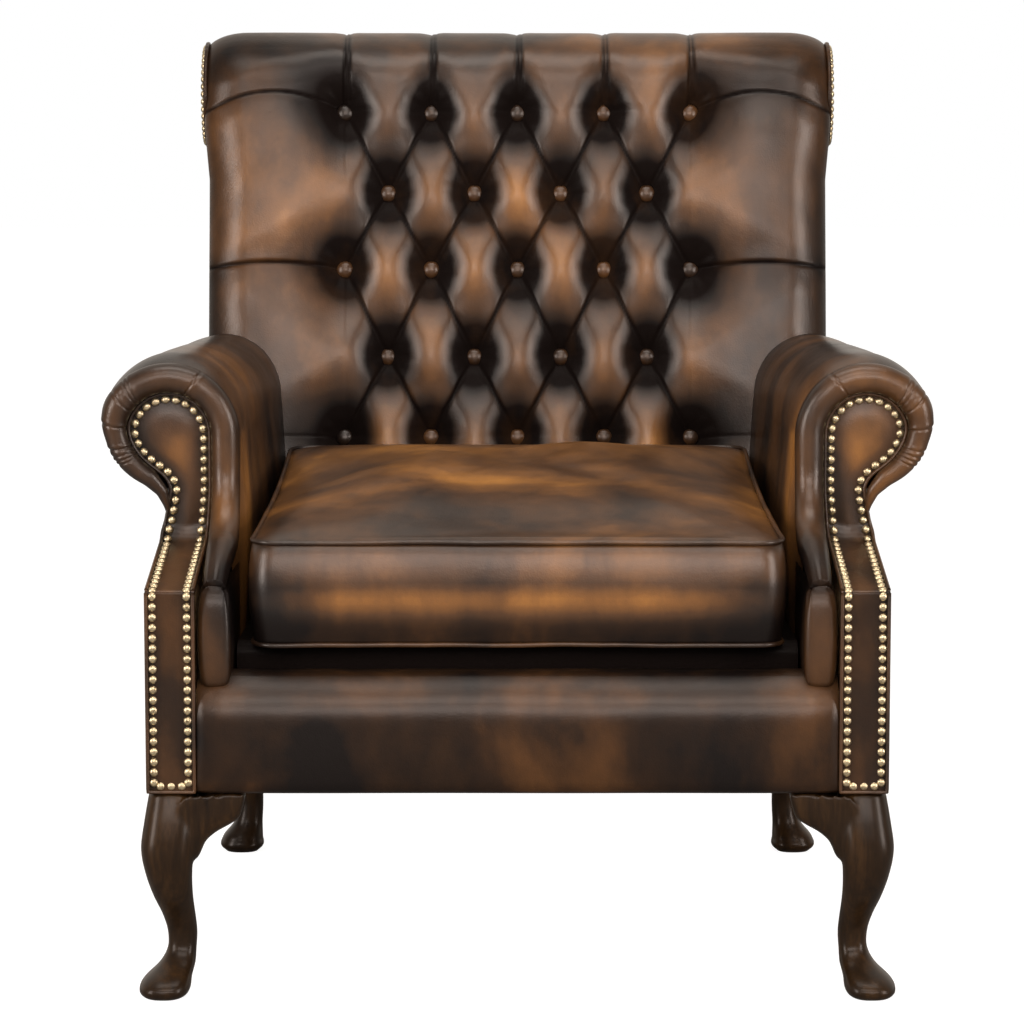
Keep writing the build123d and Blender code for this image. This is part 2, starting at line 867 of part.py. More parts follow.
with BuildPart() as right_arm_border:
    inner_x = scroll_x - border_ring
    ring_y = y_at(border_depth)
    route = []
    for index in range(ring_flats + 1):
        turn = ring_start + index * (pi - ring_start) / ring_flats
        route.append((scroll_x + border_ring * cos(turn), ring_y, scroll_z + border_ring * sin(turn)))
    bend_y = ring_y - border_bend
    bend_centre_z = bend_z - border_bend * slope_run + border_bend * sqrt(1 + slope_run**2)
    for index in range(bend_flats + 1):
        turn = (atan2(slope_run, 1) - pi / 2) * index / bend_flats
        route.append((inner_x, bend_y + border_bend * cos(turn), bend_centre_z + border_bend * sin(turn)))
    route.append((inner_x, y_at(border_end), tube_front_z))
    with BuildLine() as border_path:
        Polyline(*route)
    with BuildSketch(Plane(origin=border_path.line @ 0, z_dir=border_path.line % 0)):
        RegularPolygon(border_radius, border_sides)
    sweep(path=border_path.line, transition=Transition.RIGHT)
    add(right_arm_pad.part, mode=Mode.SUBTRACT)

for side, sign in sides:
    for piece, name in ((right_arm_pad, "arm_pad"), (right_arm_border, "arm_border")):
        half = piece.part if sign > 0 else mirror(piece.part, about=Plane.YZ)
        with BuildPart() as sided_piece:
            add(half)
        finish(sided_piece.part, f"{side}_{name}")

# Inside back
tuft_plane = Plane(
    origin=(0, y_at(tuck_depth), tuck_height),
    x_dir=(1, 0, 0),
    z_dir=(0, -cos(back_lean), sin(back_lean)),
)
row_runs = [(z - tuck_height) / cos(back_lean) for z in row_heights]
first_run, last_run = row_runs[0], row_runs[-1]
mid_run = (first_run + last_run) / 2
row_pitch = (last_run - first_run) / (len(row_heights) - 1)
buttons_wide = 2


def tuft_point(across, up, out):
    """Point on the inside back, from distances across, up and out of its face."""
    return Vector(
        across,
        y_at(tuck_depth) + up * sin(back_lean) - out * cos(back_lean),
        tuck_height + up * cos(back_lean) + out * sin(back_lean),
    )


def tuft_direction(across, up):
    """Direction that lies in the inside back's face."""
    return tuft_point(across, up, 0) - tuft_point(0, 0, 0)


def puff_heights():
    """Places across a puff as shares of its width, with their distances below the face."""
    shares = [index / puff_sides for index in range(puff_sides + 1)]
    return [(share, -tuft_depth * (2 * share - 1) ** 2) for share in shares]


def puffed_slab(slant):
    """Section and half-length of a slab of parallel puffs that meet in creases along one diagonal."""
    along = tuft_direction(slant * button_pitch / 2, row_pitch)
    length = hypot(button_pitch / 2, row_pitch)
    pitch = button_pitch * row_pitch / length
    reach = hypot(buttons_wide * button_pitch, last_run - mid_run)
    count = ceil(reach / pitch)
    profile = Plane(origin=tuft_point(0, mid_run, 0), x_dir=tuft_plane.z_dir.cross(along), z_dir=along)
    with BuildSketch(profile) as section:
        outline = []
        for index in range(-count, count):
            outline += [((index + share) * pitch, out) for share, out in puff_heights()[:-1]]
        edge = count * pitch
        outline += [(edge, -tuft_depth), (edge, -slab_depth), (-edge, -slab_depth)]
        with BuildLine():
            Polyline(*outline, close=True)
        make_face()
    return section.sketch, reach + pitch


with BuildPart() as puffs:
    for slant, mode in ((-1, Mode.ADD), (1, Mode.INTERSECT)):
        section, reach = puffed_slab(slant)
        extrude(section, amount=reach, both=True, mode=mode)

# The whole buttoned field, less its puffs, is what the tufting takes off the back's face.
with BuildPart() as tuft_cut:
    field = Plane(origin=tuft_point(0, mid_run, 0), x_dir=(1, 0, 0), z_dir=tuft_plane.z_dir)
    with Locations(Location(field)):
        Box(2 * buttons_wide * button_pitch, last_run - first_run, slab_depth)
    add(puffs.part, mode=Mode.SUBTRACT)


def cusp_section(half_width, depth):
    """Section of the valley between two puffs, open at the back's face."""
    slopes = [(half_width * (2 * share - 1), out * depth / tuft_depth) for share, out in puff_heights()]
    half = len(slopes) // 2
    flanks = [(x - half_width, out) for x, out in slopes[half:]]
    flanks += [(x + half_width, out) for x, out in slopes[1 : half + 1]]
    return flanks + [(half_width, depth), (-half_width, depth)]


def valley(start, end, half_width, end_share):
    """Cut a valley that runs between two points of the back's face and narrows to a share."""
    (across, up), (across_end, up_end) = start, end
    along = tuft_direction(across_end - across, up_end - up)
    rings = []
    for (x, run), scale in ((start, 1), (end, end_share)):
        plane = Plane(origin=tuft_point(x, run, 0), x_dir=tuft_plane.z_dir.cross(along), z_dir=along)
        section = cusp_section(half_width * scale, tuft_depth * scale)
        rings.append([plane.from_local_coords((aside, out, 0)) for aside, out in section])
    faceted_loft(rings, mode=Mode.SUBTRACT)


button_planes = []
for row, height in enumerate(row_heights):
    shift = 0 if row % 2 == 0 else button_pitch / 2
    for column in range(-buttons_wide, buttons_wide + 1 - row % 2):
        seat = tuft_point(column * button_pitch + shift, row_runs[row], -tuft_depth - button_sink)
        button_planes.append(Plane(origin=seat, x_dir=(1, 0, 0), z_dir=tuft_plane.z_dir))

pad_cover = panel_thickness + back_post_depth + web_thickness


def roll_point(turn):
    """Point on the back's roll in a side profile, turned up from its rearmost line."""
    y = y_at(roll_centre_depth) + back_roll_radius * cos(turn)
    return (y, roll_centre_z + back_roll_radius * sin(turn))


with BuildPart() as back_pad:
    with BuildSketch(side_plane(-back_half_high)) as profile:
        with BuildLine():
            foot_depth = outside_depth(back_post_top)
            foot_turn = -acos((foot_depth - roll_centre_depth) / back_roll_radius)
            Polyline(
                roll_point(foot_turn),
                (y_at(foot_depth), back_post_top),
                (y_at(foot_depth - pad_cover), back_post_top),
                (y_at(outside_depth(back_foot) - pad_cover), back_foot),
                (y_at(tuck_depth), back_foot),
                (y_at(tuck_depth), tuck_height),
                roll_point(pi - back_lean),
            )
            ThreePointArc(roll_point(pi - back_lean), roll_point(3 * pi / 4), roll_point(pi / 2))
            ThreePointArc(roll_point(pi / 2), roll_point(pi / 4), roll_point(0))
            ThreePointArc(roll_point(0), roll_point(foot_turn / 2), roll_point(foot_turn))
        make_face()
    extrude(profile.sketch, amount=2 * back_half_high, mode=Mode.ADD)
    with BuildSketch(front_plane(0)) as outline:
        with BuildLine():
            half = [
                (back_half_low, back_foot),
                (back_half_low, back_flare_z - back_roll_radius / 2),
                (back_half_high, back_flare_z),
                (back_half_high, back_top),
            ]
            Polyline(*half, *[(-x, z) for x, z in reversed(half)], close=True)
        make_face()
        fillet(outline.vertices().group_by(Axis.Y)[-1], back_corner_radius)
    extrude(outline.sketch, amount=-seat_depth - overrun, mode=Mode.INTERSECT)
    for side, sign in sides:
        near = tuck_depth - overrun
        beside = [
            (arm_inner_foot(near) - clearance, near),
            (arm_inner_foot(arm_rear) - clearance, arm_rear),
            (post_outer, arm_rear),
            (post_outer, near),
        ]
        plan_prism([(sign * x, depth) for x, depth in beside], (0, roll_z_rear), mode=Mode.SUBTRACT)
        form = arm_clearance_form.part
        add(form if sign > 0 else mirror(form, about=Plane.YZ), mode=Mode.SUBTRACT)
    add(tuft_cut.part, mode=Mode.SUBTRACT)
    field_edge = buttons_wide * button_pitch
    for sign in (-1, 1):
        for row in range(0, len(row_heights), 2):
            run = first_run + row * row_pitch
            edge = (sign * (back_half_high + side_pleat_overrun), run)
            valley((sign * field_edge, run), edge, row_pitch, side_pleat_share)
    for column in range(-buttons_wide, buttons_wide + 1):
        across = column * button_pitch
        valley((across, last_run), (across, roll_run), button_pitch / 2, top_pleat_share)
        valley((across, first_run), (across, 0), button_pitch / 2, top_pleat_share)
    roll_axis = Axis((0, y_at(roll_centre_depth), roll_centre_z), (-1, 0, 0))
    roll_section = Plane(origin=roll_axis.position, x_dir=(-1, 0, 0), z_dir=tuft_direction(0, 1))
    groove = cusp_section(button_pitch / 2 * top_pleat_share, tuft_depth * top_pleat_share)
    for column in range(-buttons_wide, buttons_wide + 1):
        across = column * button_pitch
        outline = [(across + aside, back_roll_radius + out) for aside, out in groove]
        revolve(
            profile_face(roll_section, outline),
            axis=roll_axis,
            revolution_arc=roll_groove_turn,
            mode=Mode.SUBTRACT,
        )
    for plane in button_planes:
        with BuildSketch(plane) as pocket:
            RegularPolygon(button_radius + clearance, button_sides)
        extrude(pocket.sketch, amount=2 * tuft_depth, mode=Mode.SUBTRACT)
finish(back_pad.part, "back_pad")

with BuildPart() as back_buttons:
    for plane in button_planes:
        with BuildSketch(plane) as base:
            RegularPolygon(button_radius, button_sides)
        extrude(base.sketch, amount=button_rim)
        with BuildSketch(plane.offset(button_rim)) as crown:
            RegularPolygon(button_radius, button_sides)
        extrude(crown.sketch, amount=button_crown, taper=button_taper)
finish(back_buttons.part, "back_buttons")

for side, sign in sides:
    with BuildPart() as back_facing:
        with BuildSketch(side_plane(sign * back_half_high)):
            with Locations((y_at(roll_centre_depth), roll_centre_z)):
                RegularPolygon(back_facing_radius, back_facing_sides)
        extrude(amount=sign * back_facing_thickness)
    finish(back_facing.part, f"{side}_back_facing")

# Seat cushion
def cushion_plan(inset, grow=0):
    """Closed plan outline of the cushion, with edges drawn in between its corners."""
    front = cushion_half - inset + grow
    rear = cushion_half - cushion_taper - inset + grow
    near = y_at(cushion_setback + inset - grow)
    far = y_at(cushion_rear - inset + grow)
    with BuildSketch(Plane.XY) as plan:
        with BuildLine():
            ThreePointArc((-front, near), (0, near + cushion_draw_in), (front, near))
            ThreePointArc(
                (front, near),
                ((front + rear) / 2 - cushion_draw_in, (near + far) / 2),
                (rear, far),
            )
            Line((rear, far), (-rear, far))
            ThreePointArc(
                (-rear, far),
                (cushion_draw_in - (front + rear) / 2, (near + far) / 2),
                (-front, near),
            )
        make_face()
        fillet(plan.vertices(), cushion_corner_radius - inset + grow)
    return plan.sketch


def crown_face(plane, low, high, inset):
    """Flat-bottomed face under a crown of short flats between two sides."""
    flats = []
    for index in range(crown_flats + 1):
        share = index / crown_flats
        rise = cushion_crown * (1 - (2 * share - 1) ** 2)
        flats.append((low + share * (high - low), cushion_top + rise - inset))
    return profile_face(plane, flats + [(high, cushion_bottom + inset), (low, cushion_bottom + inset)])


def cushion_form(inset):
    """Crowned cushion body, drawn a distance inside the cover's outer face."""
    with BuildPart() as body:
        extrude(cushion_plan(inset), amount=cushion_top + 2 * cushion_crown)
        across = crown_face(front_plane(0), -cushion_half + inset, cushion_half - inset, inset)
        extrude(across, amount=-seat_depth, mode=Mode.INTERSECT)
        near = y_at(cushion_setback + inset)
        along = crown_face(side_plane(0), near, y_at(cushion_rear - inset), inset)
        extrude(along, amount=cushion_bottom_width, both=True, mode=Mode.INTERSECT)
    return body.part


with BuildPart() as cushion_cover:
    add(cushion_form(0))
    add(cushion_form(cover_wall), mode=Mode.SUBTRACT)
finish(cushion_cover.part, "cushion_cover")

with BuildPart() as cushion_foam:
    inset = cover_wall + clearance
    side_inset = inset + cushion_draw_in
    front = cushion_half - side_inset
    rear = front - cushion_taper
    near = cushion_setback + side_inset
    far = cushion_rear - inset
    corners = [(-front, near), (front, near), (rear, far), (-rear, far)]
    plan_prism(corners, (cushion_bottom, cushion_top + overrun))
    chamfer(cushion_foam.edges().filter_by(Axis.Z), cushion_corner_radius)
    across = crown_face(front_plane(0), side_inset - cushion_half, cushion_half - side_inset, inset)
    extrude(across, amount=-seat_depth, mode=Mode.INTERSECT)
    along = crown_face(side_plane(0), y_at(near), y_at(far), inset)
    extrude(along, amount=cushion_bottom_width, both=True, mode=Mode.INTERSECT)
finish(cushion_foam.part, "cushion_foam")

for level, name in ((cushion_top - piping_radius, "top"), (cushion_bottom + piping_radius, "bottom")):
    with BuildPart() as piping:
        path = Plane.XY.offset(level) * cushion_plan(0, piping_radius).wire()
        with BuildSketch(Plane(origin=path @ 0, z_dir=path % 0)):
            RegularPolygon(piping_radius, piping_sides)
        sweep(path=path)
    finish(piping.part, f"cushion_piping_{name}")

zip_z = (cushion_bottom + cushion_top) / 2
tape_rear = cushion_rear + zip_tape_thickness
chain_rear = tape_rear + zip_chain_height
with BuildPart() as zip_tape:
    half_tape = zip_tape_width / 2
    half_length = zip_length / 2
    block((-half_length, half_length), (cushion_rear, tape_rear), (zip_z - half_tape, zip_z + half_tape))
    half_chain = zip_chain_width / 2
    chain_end = half_length - zip_margin
    block((-chain_end, chain_end), (tape_rear, chain_rear), (zip_z - half_chain, zip_z + half_chain))
finish(zip_tape.part, "zip_tape")

slider_face = chain_rear + clearance + slider_wall
pin_depth = slider_face + pull_pin_radius + pin_gap
pin_z = zip_z
slider_x = chain_end - slider_length
with BuildPart() as zip_slider:
    half_slider = slider_width / 2
    slider_range = (slider_x - slider_length / 2, slider_x + slider_length / 2)
    block(slider_range, (tape_rear + clearance, slider_face), (zip_z - half_slider, zip_z + half_slider))
    groove = half_chain + clearance
    block(
        (slider_x - slider_length, slider_x + slider_length),
        (tape_rear, chain_rear + clearance),
        (zip_z - groove, zip_z + groove),
        mode=Mode.SUBTRACT,
    )
    for end in (-1, 1):
        inner = slider_x + end * (pull_width / 2 + clearance)
        block(
            (inner, inner + end * lug_width),
            (slider_face, pin_depth + 2 * pull_pin_radius),
            (pin_z - 2 * pull_pin_radius, pin_z + 2 * pull_pin_radius),
        )
    with Locations(Location(Plane(origin=(slider_x, y_at(pin_depth), pin_z), z_dir=(1, 0, 0)))):
        Cylinder(pull_pin_radius + pin_fit, slider_length, mode=Mode.SUBTRACT)
finish(zip_slider.part, "zip_slider")

with BuildPart() as zip_pull:
    block(
        (slider_x - pull_width / 2, slider_x + pull_width / 2),
        (pin_depth - pull_thickness / 2, pin_depth + pull_thickness / 2),
        (pin_z - pull_length, pin_z),
    )
    with Locations(Location(Plane(origin=(slider_x, y_at(pin_depth), pin_z), z_dir=(1, 0, 0)))):
        Cylinder(pull_pin_radius, pull_width + 2 * clearance + 2 * lug_width)
finish(zip_pull.part, "zip_pull")

# Piping and nails
with BuildPart() as nail:
    with BuildSketch():
        RegularPolygon(nail_radius, nail_sides)
    extrude(amount=nail_height)

slope_length = hypot(scroll_setback, slope_rear_z - slope_front_z) - slope_fillet
slope_angle = atan2(slope_rear_z - slope_front_z, scroll_setback)
slope_plane = Plane(
    origin=(0, y_at(0), slope_front_z),
    x_dir=(1, 0, 0),
    z_dir=(0, -sin(slope_angle), cos(slope_angle)),
)


def slope_x(run, inset):
    """X of the facing's inner and outer rows at a distance up the slope."""
    share = run / hypot(scroll_setback, slope_rear_z - slope_front_z)
    inner = post_inner + share * (neck_inner - post_inner) + inset
    outer = post_outer + share * (neck_outer - post_outer) - inset
    return inner, outer


for side, sign in sides:
    with BuildPart() as facing_welt:
        deep = [(neck_outer - welt_width, 0), (neck_inner + welt_width, 0)]
        extrude(scroll_face(front_plane(scroll_setback), welt_inset, sign, []), amount=welt_height)
        extrude(
            scroll_face(front_plane(scroll_setback), welt_width, sign, deep),
            amount=welt_height,
            mode=Mode.SUBTRACT,
        )
        block(
            (-post_outer, post_outer),
            (0, scroll_back),
            (0, slope_rear_z + slope_fillet),
            mode=Mode.SUBTRACT,
        )
        for row in (0, 1):
            towards = 1 - 2 * row
            foot_x = slope_x(0, welt_inset)[row]
            head_x = slope_x(slope_length, welt_inset)[row]
            quad = [
                (foot_x, welt_inset),
                (head_x, slope_length),
                (head_x + towards * welt_width, slope_length),
                (foot_x + towards * welt_width, welt_inset),
            ]
            extrude(profile_face(slope_plane, [(sign * x, run) for x, run in quad]), amount=welt_height)
            block(
                sided(sign, (foot_x, foot_x + towards * welt_width)),
                (-welt_height, 0),
                (leg_height + welt_inset, slope_front_z),
            )
    finish(facing_welt.part, f"{side}_facing_piping")

post_run = slope_front_z - leg_height - nail_inset - nail_radius - nail_margin
post_nails = round(post_run / nail_pitch)
slope_nails = round(slope_length / nail_pitch)


def set_nails(plane, places):
    """Add a nail head on a plane at each of its places."""
    with Locations(*[plane.location * Location((across, up, 0)) for across, up in places]):
        add(nail.part)


for side, sign in sides:
    with BuildPart() as arm_nails:
        columns = (post_inner + nail_inset, post_outer - nail_inset)
        low = leg_height + nail_inset
        places = [(x, low + i * post_run / post_nails) for x in columns for i in range(post_nails + 1)]
        gap = (columns[1] - columns[0]) / (bottom_nails + 1)
        places += [(columns[0] + (i + 1) * gap, low) for i in range(bottom_nails)]
        set_nails(front_plane(0), [(sign * x, z) for x, z in places])
        runs = [(i + 0.5) * slope_length / slope_nails for i in range(slope_nails)]
        places = [(x, run) for run in runs for x in slope_x(run, nail_inset)]
        set_nails(slope_plane, [(sign * x, run) for x, run in places])
        row = scroll_line(nail_inset, sign).wire()
        margin = slope_fillet + nail_radius
        spaces = round((row.length - 2 * margin) / nail_pitch)
        step = (row.length - 2 * margin) / spaces
        lengths = [margin + i * step for i in range(spaces + 1)]
        places = [row.position_at(length, position_mode=PositionMode.LENGTH) for length in lengths]
        set_nails(front_plane(scroll_setback), [(place.X, place.Y) for place in places])
    finish(arm_nails.part, f"{side}_arm_nails")

    with BuildPart() as back_nails:
        face_x = sign * (back_half_high + back_facing_thickness)
        face = Plane(origin=(face_x, y_at(roll_centre_depth), roll_centre_z), z_dir=(sign, 0, 0))
        row_radius = back_facing_radius - nail_inset
        count = round(2 * pi * row_radius / back_nail_pitch)
        turns = [2 * pi * i / count for i in range(count)]
        set_nails(face, [(row_radius * cos(turn), row_radius * sin(turn)) for turn in turns])
    finish(back_nails.part, f"{side}_back_nails")
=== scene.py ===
from math import atan, atan2, copysign, cos, degrees, hypot, pi, radians, sin, sqrt, tan

import bmesh
import bpy
import numpy as np
from mathutils import Matrix, Vector, noise


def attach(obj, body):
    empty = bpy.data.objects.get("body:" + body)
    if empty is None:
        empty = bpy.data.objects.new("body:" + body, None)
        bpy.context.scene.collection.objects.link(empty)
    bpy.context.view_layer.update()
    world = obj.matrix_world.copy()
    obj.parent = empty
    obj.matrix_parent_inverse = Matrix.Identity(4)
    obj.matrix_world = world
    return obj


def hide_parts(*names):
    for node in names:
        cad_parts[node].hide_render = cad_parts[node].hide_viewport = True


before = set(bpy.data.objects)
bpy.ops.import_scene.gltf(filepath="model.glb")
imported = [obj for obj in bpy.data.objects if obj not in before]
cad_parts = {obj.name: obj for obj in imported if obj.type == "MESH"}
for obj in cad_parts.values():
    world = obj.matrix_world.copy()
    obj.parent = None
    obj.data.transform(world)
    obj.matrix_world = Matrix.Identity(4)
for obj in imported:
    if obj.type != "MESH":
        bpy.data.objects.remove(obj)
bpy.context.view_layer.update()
MM = 0.001

# Shared places in mm: x aside, depth from the front of the posts, z up
BACK_TOP, ROLL_R = 950.0, 72.0
# lean of the inside back and of the frame's rear side
LEAN, FRAME_LEAN = radians(12.0), radians(7.56)
# where the inside back goes down behind the cushion
TUCK_DEPTH, TUCK_Z = 600.0, 470.0
ROLL_Z = BACK_TOP - ROLL_R
ROLL_RUN = (ROLL_Z - TUCK_Z + ROLL_R * sin(LEAN)) / cos(LEAN)
ROLL_D = TUCK_DEPTH + ROLL_RUN * sin(LEAN) + ROLL_R * cos(LEAN)
# depth 0 lies at this y, so that the chair stands centred
FRONT = -(ROLL_D + ROLL_R - 28.0) / 2
# arm facing: its scroll, its neck, and the slope forwards to the post
SCROLL_X, SCROLL_Z, SCROLL_R, WAIST_R = 361.0, 562.0, 44.5, 18.0
NECK_IN, NECK_OUT = 320.0, 370.0
SET_BACK, SLOPE_F, SLOPE_B = 140.0, 420.0, 455.0
SLOPE = (SLOPE_B - SLOPE_F) / SET_BACK
POST_IN, POST_OUT = 326.0, 377.0
LEG_H = 212.0
# arm border: depth of its centre line, and height where it bends forwards
RING_D, BEND_Z = 135.0, 471.0
BUTTON_PITCH = 98.8
BUTTON_Z = [499.6, 590.0, 688.3, 774.2, 865.2]
ROWS = [(z - TUCK_Z) / cos(LEAN) for z in BUTTON_Z]
# cushion: its two seams, half width in front, what it loses behind, and its depths
CUSH_LOW, CUSH_TOP, CUSH_HALF, CUSH_TAPER = 358.3, 468.3, 269.0, 14.0
CUSH_FRONT, CUSH_BACK = 26.0, 572.0
SIDES = (("right", 1), ("left", -1))


def clamp(x):
    return np.clip(x, 0, 1)


def bell(x, width):
    """1 at zero, falling off over the width."""
    return np.exp(-((x / width) ** 2))


def outside(z):
    """Depth of the leaning rear side at a height."""
    return 700.0 + (z - LEG_H) * tan(FRAME_LEAN)


# Mesh helpers
def placed(name, data):
    obj = bpy.data.objects.new(name, data)
    bpy.context.scene.collection.objects.link(obj)
    return obj


def make(name, verts, faces, wear=None):
    """New object from points in mm as (x, depth, z)."""
    pts = np.asarray(verts, float).reshape(-1, 3).copy()
    pts[:, 1] += FRONT
    mesh = bpy.data.meshes.new(name)
    mesh.from_pydata((pts * MM).tolist(), [], faces)
    if wear is not None:
        set_wear(mesh, wear)
    mesh.validate()
    mesh.shade_smooth()
    return placed(name, mesh)


def set_wear(mesh, wear):
    """Vertex tone from 0 in a fold to 1 on a rubbed crown: rubbed amber, with painted shade in folds and
    hollows and painted highlights on some rounded edges.
    """
    layer = mesh.color_attributes.new("wear", "FLOAT_COLOR", "POINT")
    w = clamp(np.asarray(wear, float).ravel())
    rgba = np.stack([w, w, w, np.ones_like(w)], 1).ravel()
    layer.data.foreach_set("color", rgba.astype(np.float32))


def grid_faces(rows, cols, close_rows=False, close_cols=False, flip=False):
    faces = []
    for r in range(rows if close_rows else rows - 1):
        for c in range(cols if close_cols else cols - 1):
            a, b = r * cols + c, r * cols + (c + 1) % cols
            d, e = ((r + 1) % rows) * cols + c, ((r + 1) % rows) * cols + (c + 1) % cols
            faces.append((a, d, e, b) if flip else (a, b, e, d))
    return faces


def grid(name, pts, wear=None, flip=False, **closed):
    """Surface through rows of points."""
    pts = np.asarray(pts, float)
    return make(name, pts, grid_faces(pts.shape[0], pts.shape[1], flip=flip, **closed), wear)


def reflect(mesh):
    mesh.transform(Matrix.Scale(-1, 4, (1, 0, 0)))
    mesh.flip_normals()


def mirrored(obj, name):
    """Copy reflected to the other side of the chair."""
    mesh = obj.data.copy()
    mesh.name = name
    reflect(mesh)
    return placed(name, mesh)


def join(name, objects):
    """One object from several, with their vertex tones kept."""
    target = bmesh.new()
    for obj in objects:
        target.from_mesh(obj.data)
        bpy.data.objects.remove(obj)
    mesh = bpy.data.meshes.new(name)
    target.to_mesh(mesh)
    target.free()
    mesh.shade_smooth()
    return placed(name, mesh)


def capped(obj):
    """Ends filled, and faces turned outwards."""
    bm = bmesh.new()
    bm.from_mesh(obj.data)
    bmesh.ops.holes_fill(bm, edges=[e for e in bm.edges if e.is_boundary], sides=0)
    bmesh.ops.recalc_face_normals(bm, faces=bm.faces)
    bm.to_mesh(obj.data)
    bm.free()
    obj.data.shade_smooth()
    return obj


def evened(obj, voxel, rounds):
    """Mesh rebuilt in even cells of a size in mm, and smoothed."""
    cells = obj.modifiers.new("cells", "REMESH")
    cells.mode = "VOXEL"
    cells.voxel_size = voxel * MM
    soft = obj.modifiers.new("soft", "SMOOTH")
    soft.factor = 0.5
    soft.iterations = rounds
    deps = bpy.context.evaluated_depsgraph_get()
    mesh = bpy.data.meshes.new_from_object(obj.evaluated_get(deps))
    obj.modifiers.clear()
    obj.data = mesh
    mesh.shade_smooth()
    return obj


def spline(xs, ys, at):
    """Smooth curve through values, by Catmull-Rom."""
    xs, ys = np.asarray(xs, float), np.asarray(ys, float)
    order = np.argsort(xs)
    xs, ys = xs[order], ys[order]
    grad = np.gradient(ys, xs)
    i = np.clip(np.searchsorted(xs, at) - 1, 0, len(xs) - 2)
    h = xs[i + 1] - xs[i]
    t = (at - xs[i]) / h
    return (
        (2 * t**3 - 3 * t**2 + 1) * ys[i]
        + (t**3 - 2 * t**2 + t) * h * grad[i]
        + (3 * t**2 - 2 * t**3) * ys[i + 1]
        + (t**3 - t**2) * h * grad[i + 1]
    )


def rough(p, scale, seed):
    """Smooth unevenness from -1 to 1 at a point."""
    return noise.noise(Vector((p[0] * scale + seed, p[1] * scale - seed, p[2] * scale + 2 * seed)))


def runs_of(path):
    """Distance along a path to each of its points."""
    return np.concatenate([[0], np.cumsum(np.linalg.norm(np.diff(path, axis=0), axis=1))])


def path_at(path, marks):
    """Points at distances along a path."""
    runs = runs_of(path)
    return np.stack([np.interp(marks, runs, column) for column in path.T], 1)


def eased(path, rounds):
    """Rows of a grid or path drawn towards their neighbours, with the ends held."""
    for _ in range(rounds):
        path[1:-1] = (path[:-2] + 2 * path[1:-1] + path[2:]) / 4
    return path


def ring_turns(sides):
    """Angles of the points round a ring."""
    return [2 * pi * k / sides for k in range(sides)]


def tube(name, path, radius, sides, wear, closed=False):
    """Round tube along points in mm."""
    path = np.asarray(path, float)
    count = len(path)
    pts, frame_up = [], None
    for i in range(count):
        after = path[(i + 1) % count] if closed or i < count - 1 else path[i]
        before = path[i - 1] if closed or i else path[i]
        along = Vector(after - before).normalized()
        if frame_up is None:
            ref = Vector((0, 0, 1)) if abs(along.z) < 0.9 else Vector((1, 0, 0))
            frame_up = (ref - ref.dot(along) * along).normalized()
        frame_up = (frame_up - frame_up.dot(along) * along).normalized()
        across = along.cross(frame_up)
        for turn in ring_turns(sides):
            pts.append(Vector(path[i]) + radius * (cos(turn) * frame_up + sin(turn) * across))
    faces = grid_faces(count, sides, close_rows=closed, close_cols=True)
    if not closed:
        faces.append(tuple(range(sides)))
        faces.append(tuple(reversed(range((count - 1) * sides, count * sides))))
    return make(name, pts, faces, np.full(count * sides, wear))


def softened(node, name, voxel, rounds):
    """Rounded copy of a CAD node, for upholstery over a board."""
    obj = placed(name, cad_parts[node].data.copy())
    obj.data.name = name
    obj.data.materials.clear()
    return evened(obj, voxel, rounds)


def mesh_points(mesh):
    flat = np.empty(len(mesh.vertices) * 3)
    mesh.vertices.foreach_get("co", flat)
    return flat.reshape(-1, 3)


def points_of(obj):
    return mesh_points(obj.data)


def put_points(obj, pts):
    obj.data.vertices.foreach_set("co", np.asarray(pts, float).ravel())
    obj.data.update()


# Materials
class Nodes:
    """Short way to write the nodes of a new material, or of a tree that is there."""

    def __init__(self, name="", tree=None):
        if tree is None:
            self.mat = bpy.data.materials.new(name)
            self.mat.use_nodes = True
            tree = self.mat.node_tree
            self.shader = tree.nodes["Principled BSDF"]
        self.tree = tree

    def add(self, kind, inputs=None, **props):
        node = self.tree.nodes.new(kind)
        for key, value in props.items():
            setattr(node, key, value)
        for key, value in (inputs or {}).items():
            self.set(node, key, value)
        return node

    def set(self, node, key, value):
        if isinstance(value, tuple) and len(value) == 2 and hasattr(value[0], "outputs"):
            self.tree.links.new(value[0].outputs[value[1]], node.inputs[key])
        elif hasattr(value, "outputs"):
            self.tree.links.new(value.outputs[0], node.inputs[key])
        else:
            node.inputs[key].default_value = value

    def math(self, op, a, b, clamp=False):
        return self.add("ShaderNodeMath", {0: a, 1: b}, operation=op, use_clamp=clamp)

    def times(self, a, b, clamp=False):
        return self.math("MULTIPLY", a, b, clamp)

    def plus(self, a, b, clamp=False):
        return self.math("ADD", a, b, clamp)

    def centred(self, a):
        return self.math("SUBTRACT", a, 0.5)

    def look(self, **values):
        """The shader's own values, with _ for each blank in a name."""
        for key, value in values.items():
            self.set(self.shader, key.replace("_", " "), value)

    def bump(self, height, strength, distance):
        values = {"Height": height, "Strength": strength, "Distance": distance}
        self.look(Normal=self.add("ShaderNodeBump", values))

    def ramp(self, fac, stops):
        node = self.add("ShaderNodeValToRGB", {"Fac": fac})
        ramp = node.color_ramp
        while len(ramp.elements) < len(stops):
            ramp.elements.new(0.5)
        for element, (pos, colour) in zip(ramp.elements, stops):
            element.position = pos
            element.color = (*colour, 1)
        return node

    def noise(self, scale, detail=4.0, rough=0.5, distortion=0.0, offset=None):
        place = self.add("ShaderNodeTexCoord")
        vector = (place, "Object")
        if offset:
            vector = self.add("ShaderNodeMapping", {"Vector": vector, "Scale": offset})
        values = {"Vector": vector, "Scale": scale, "Detail": detail, "Roughness": rough}
        return self.add("ShaderNodeTexNoise", {**values, "Distortion": distortion})


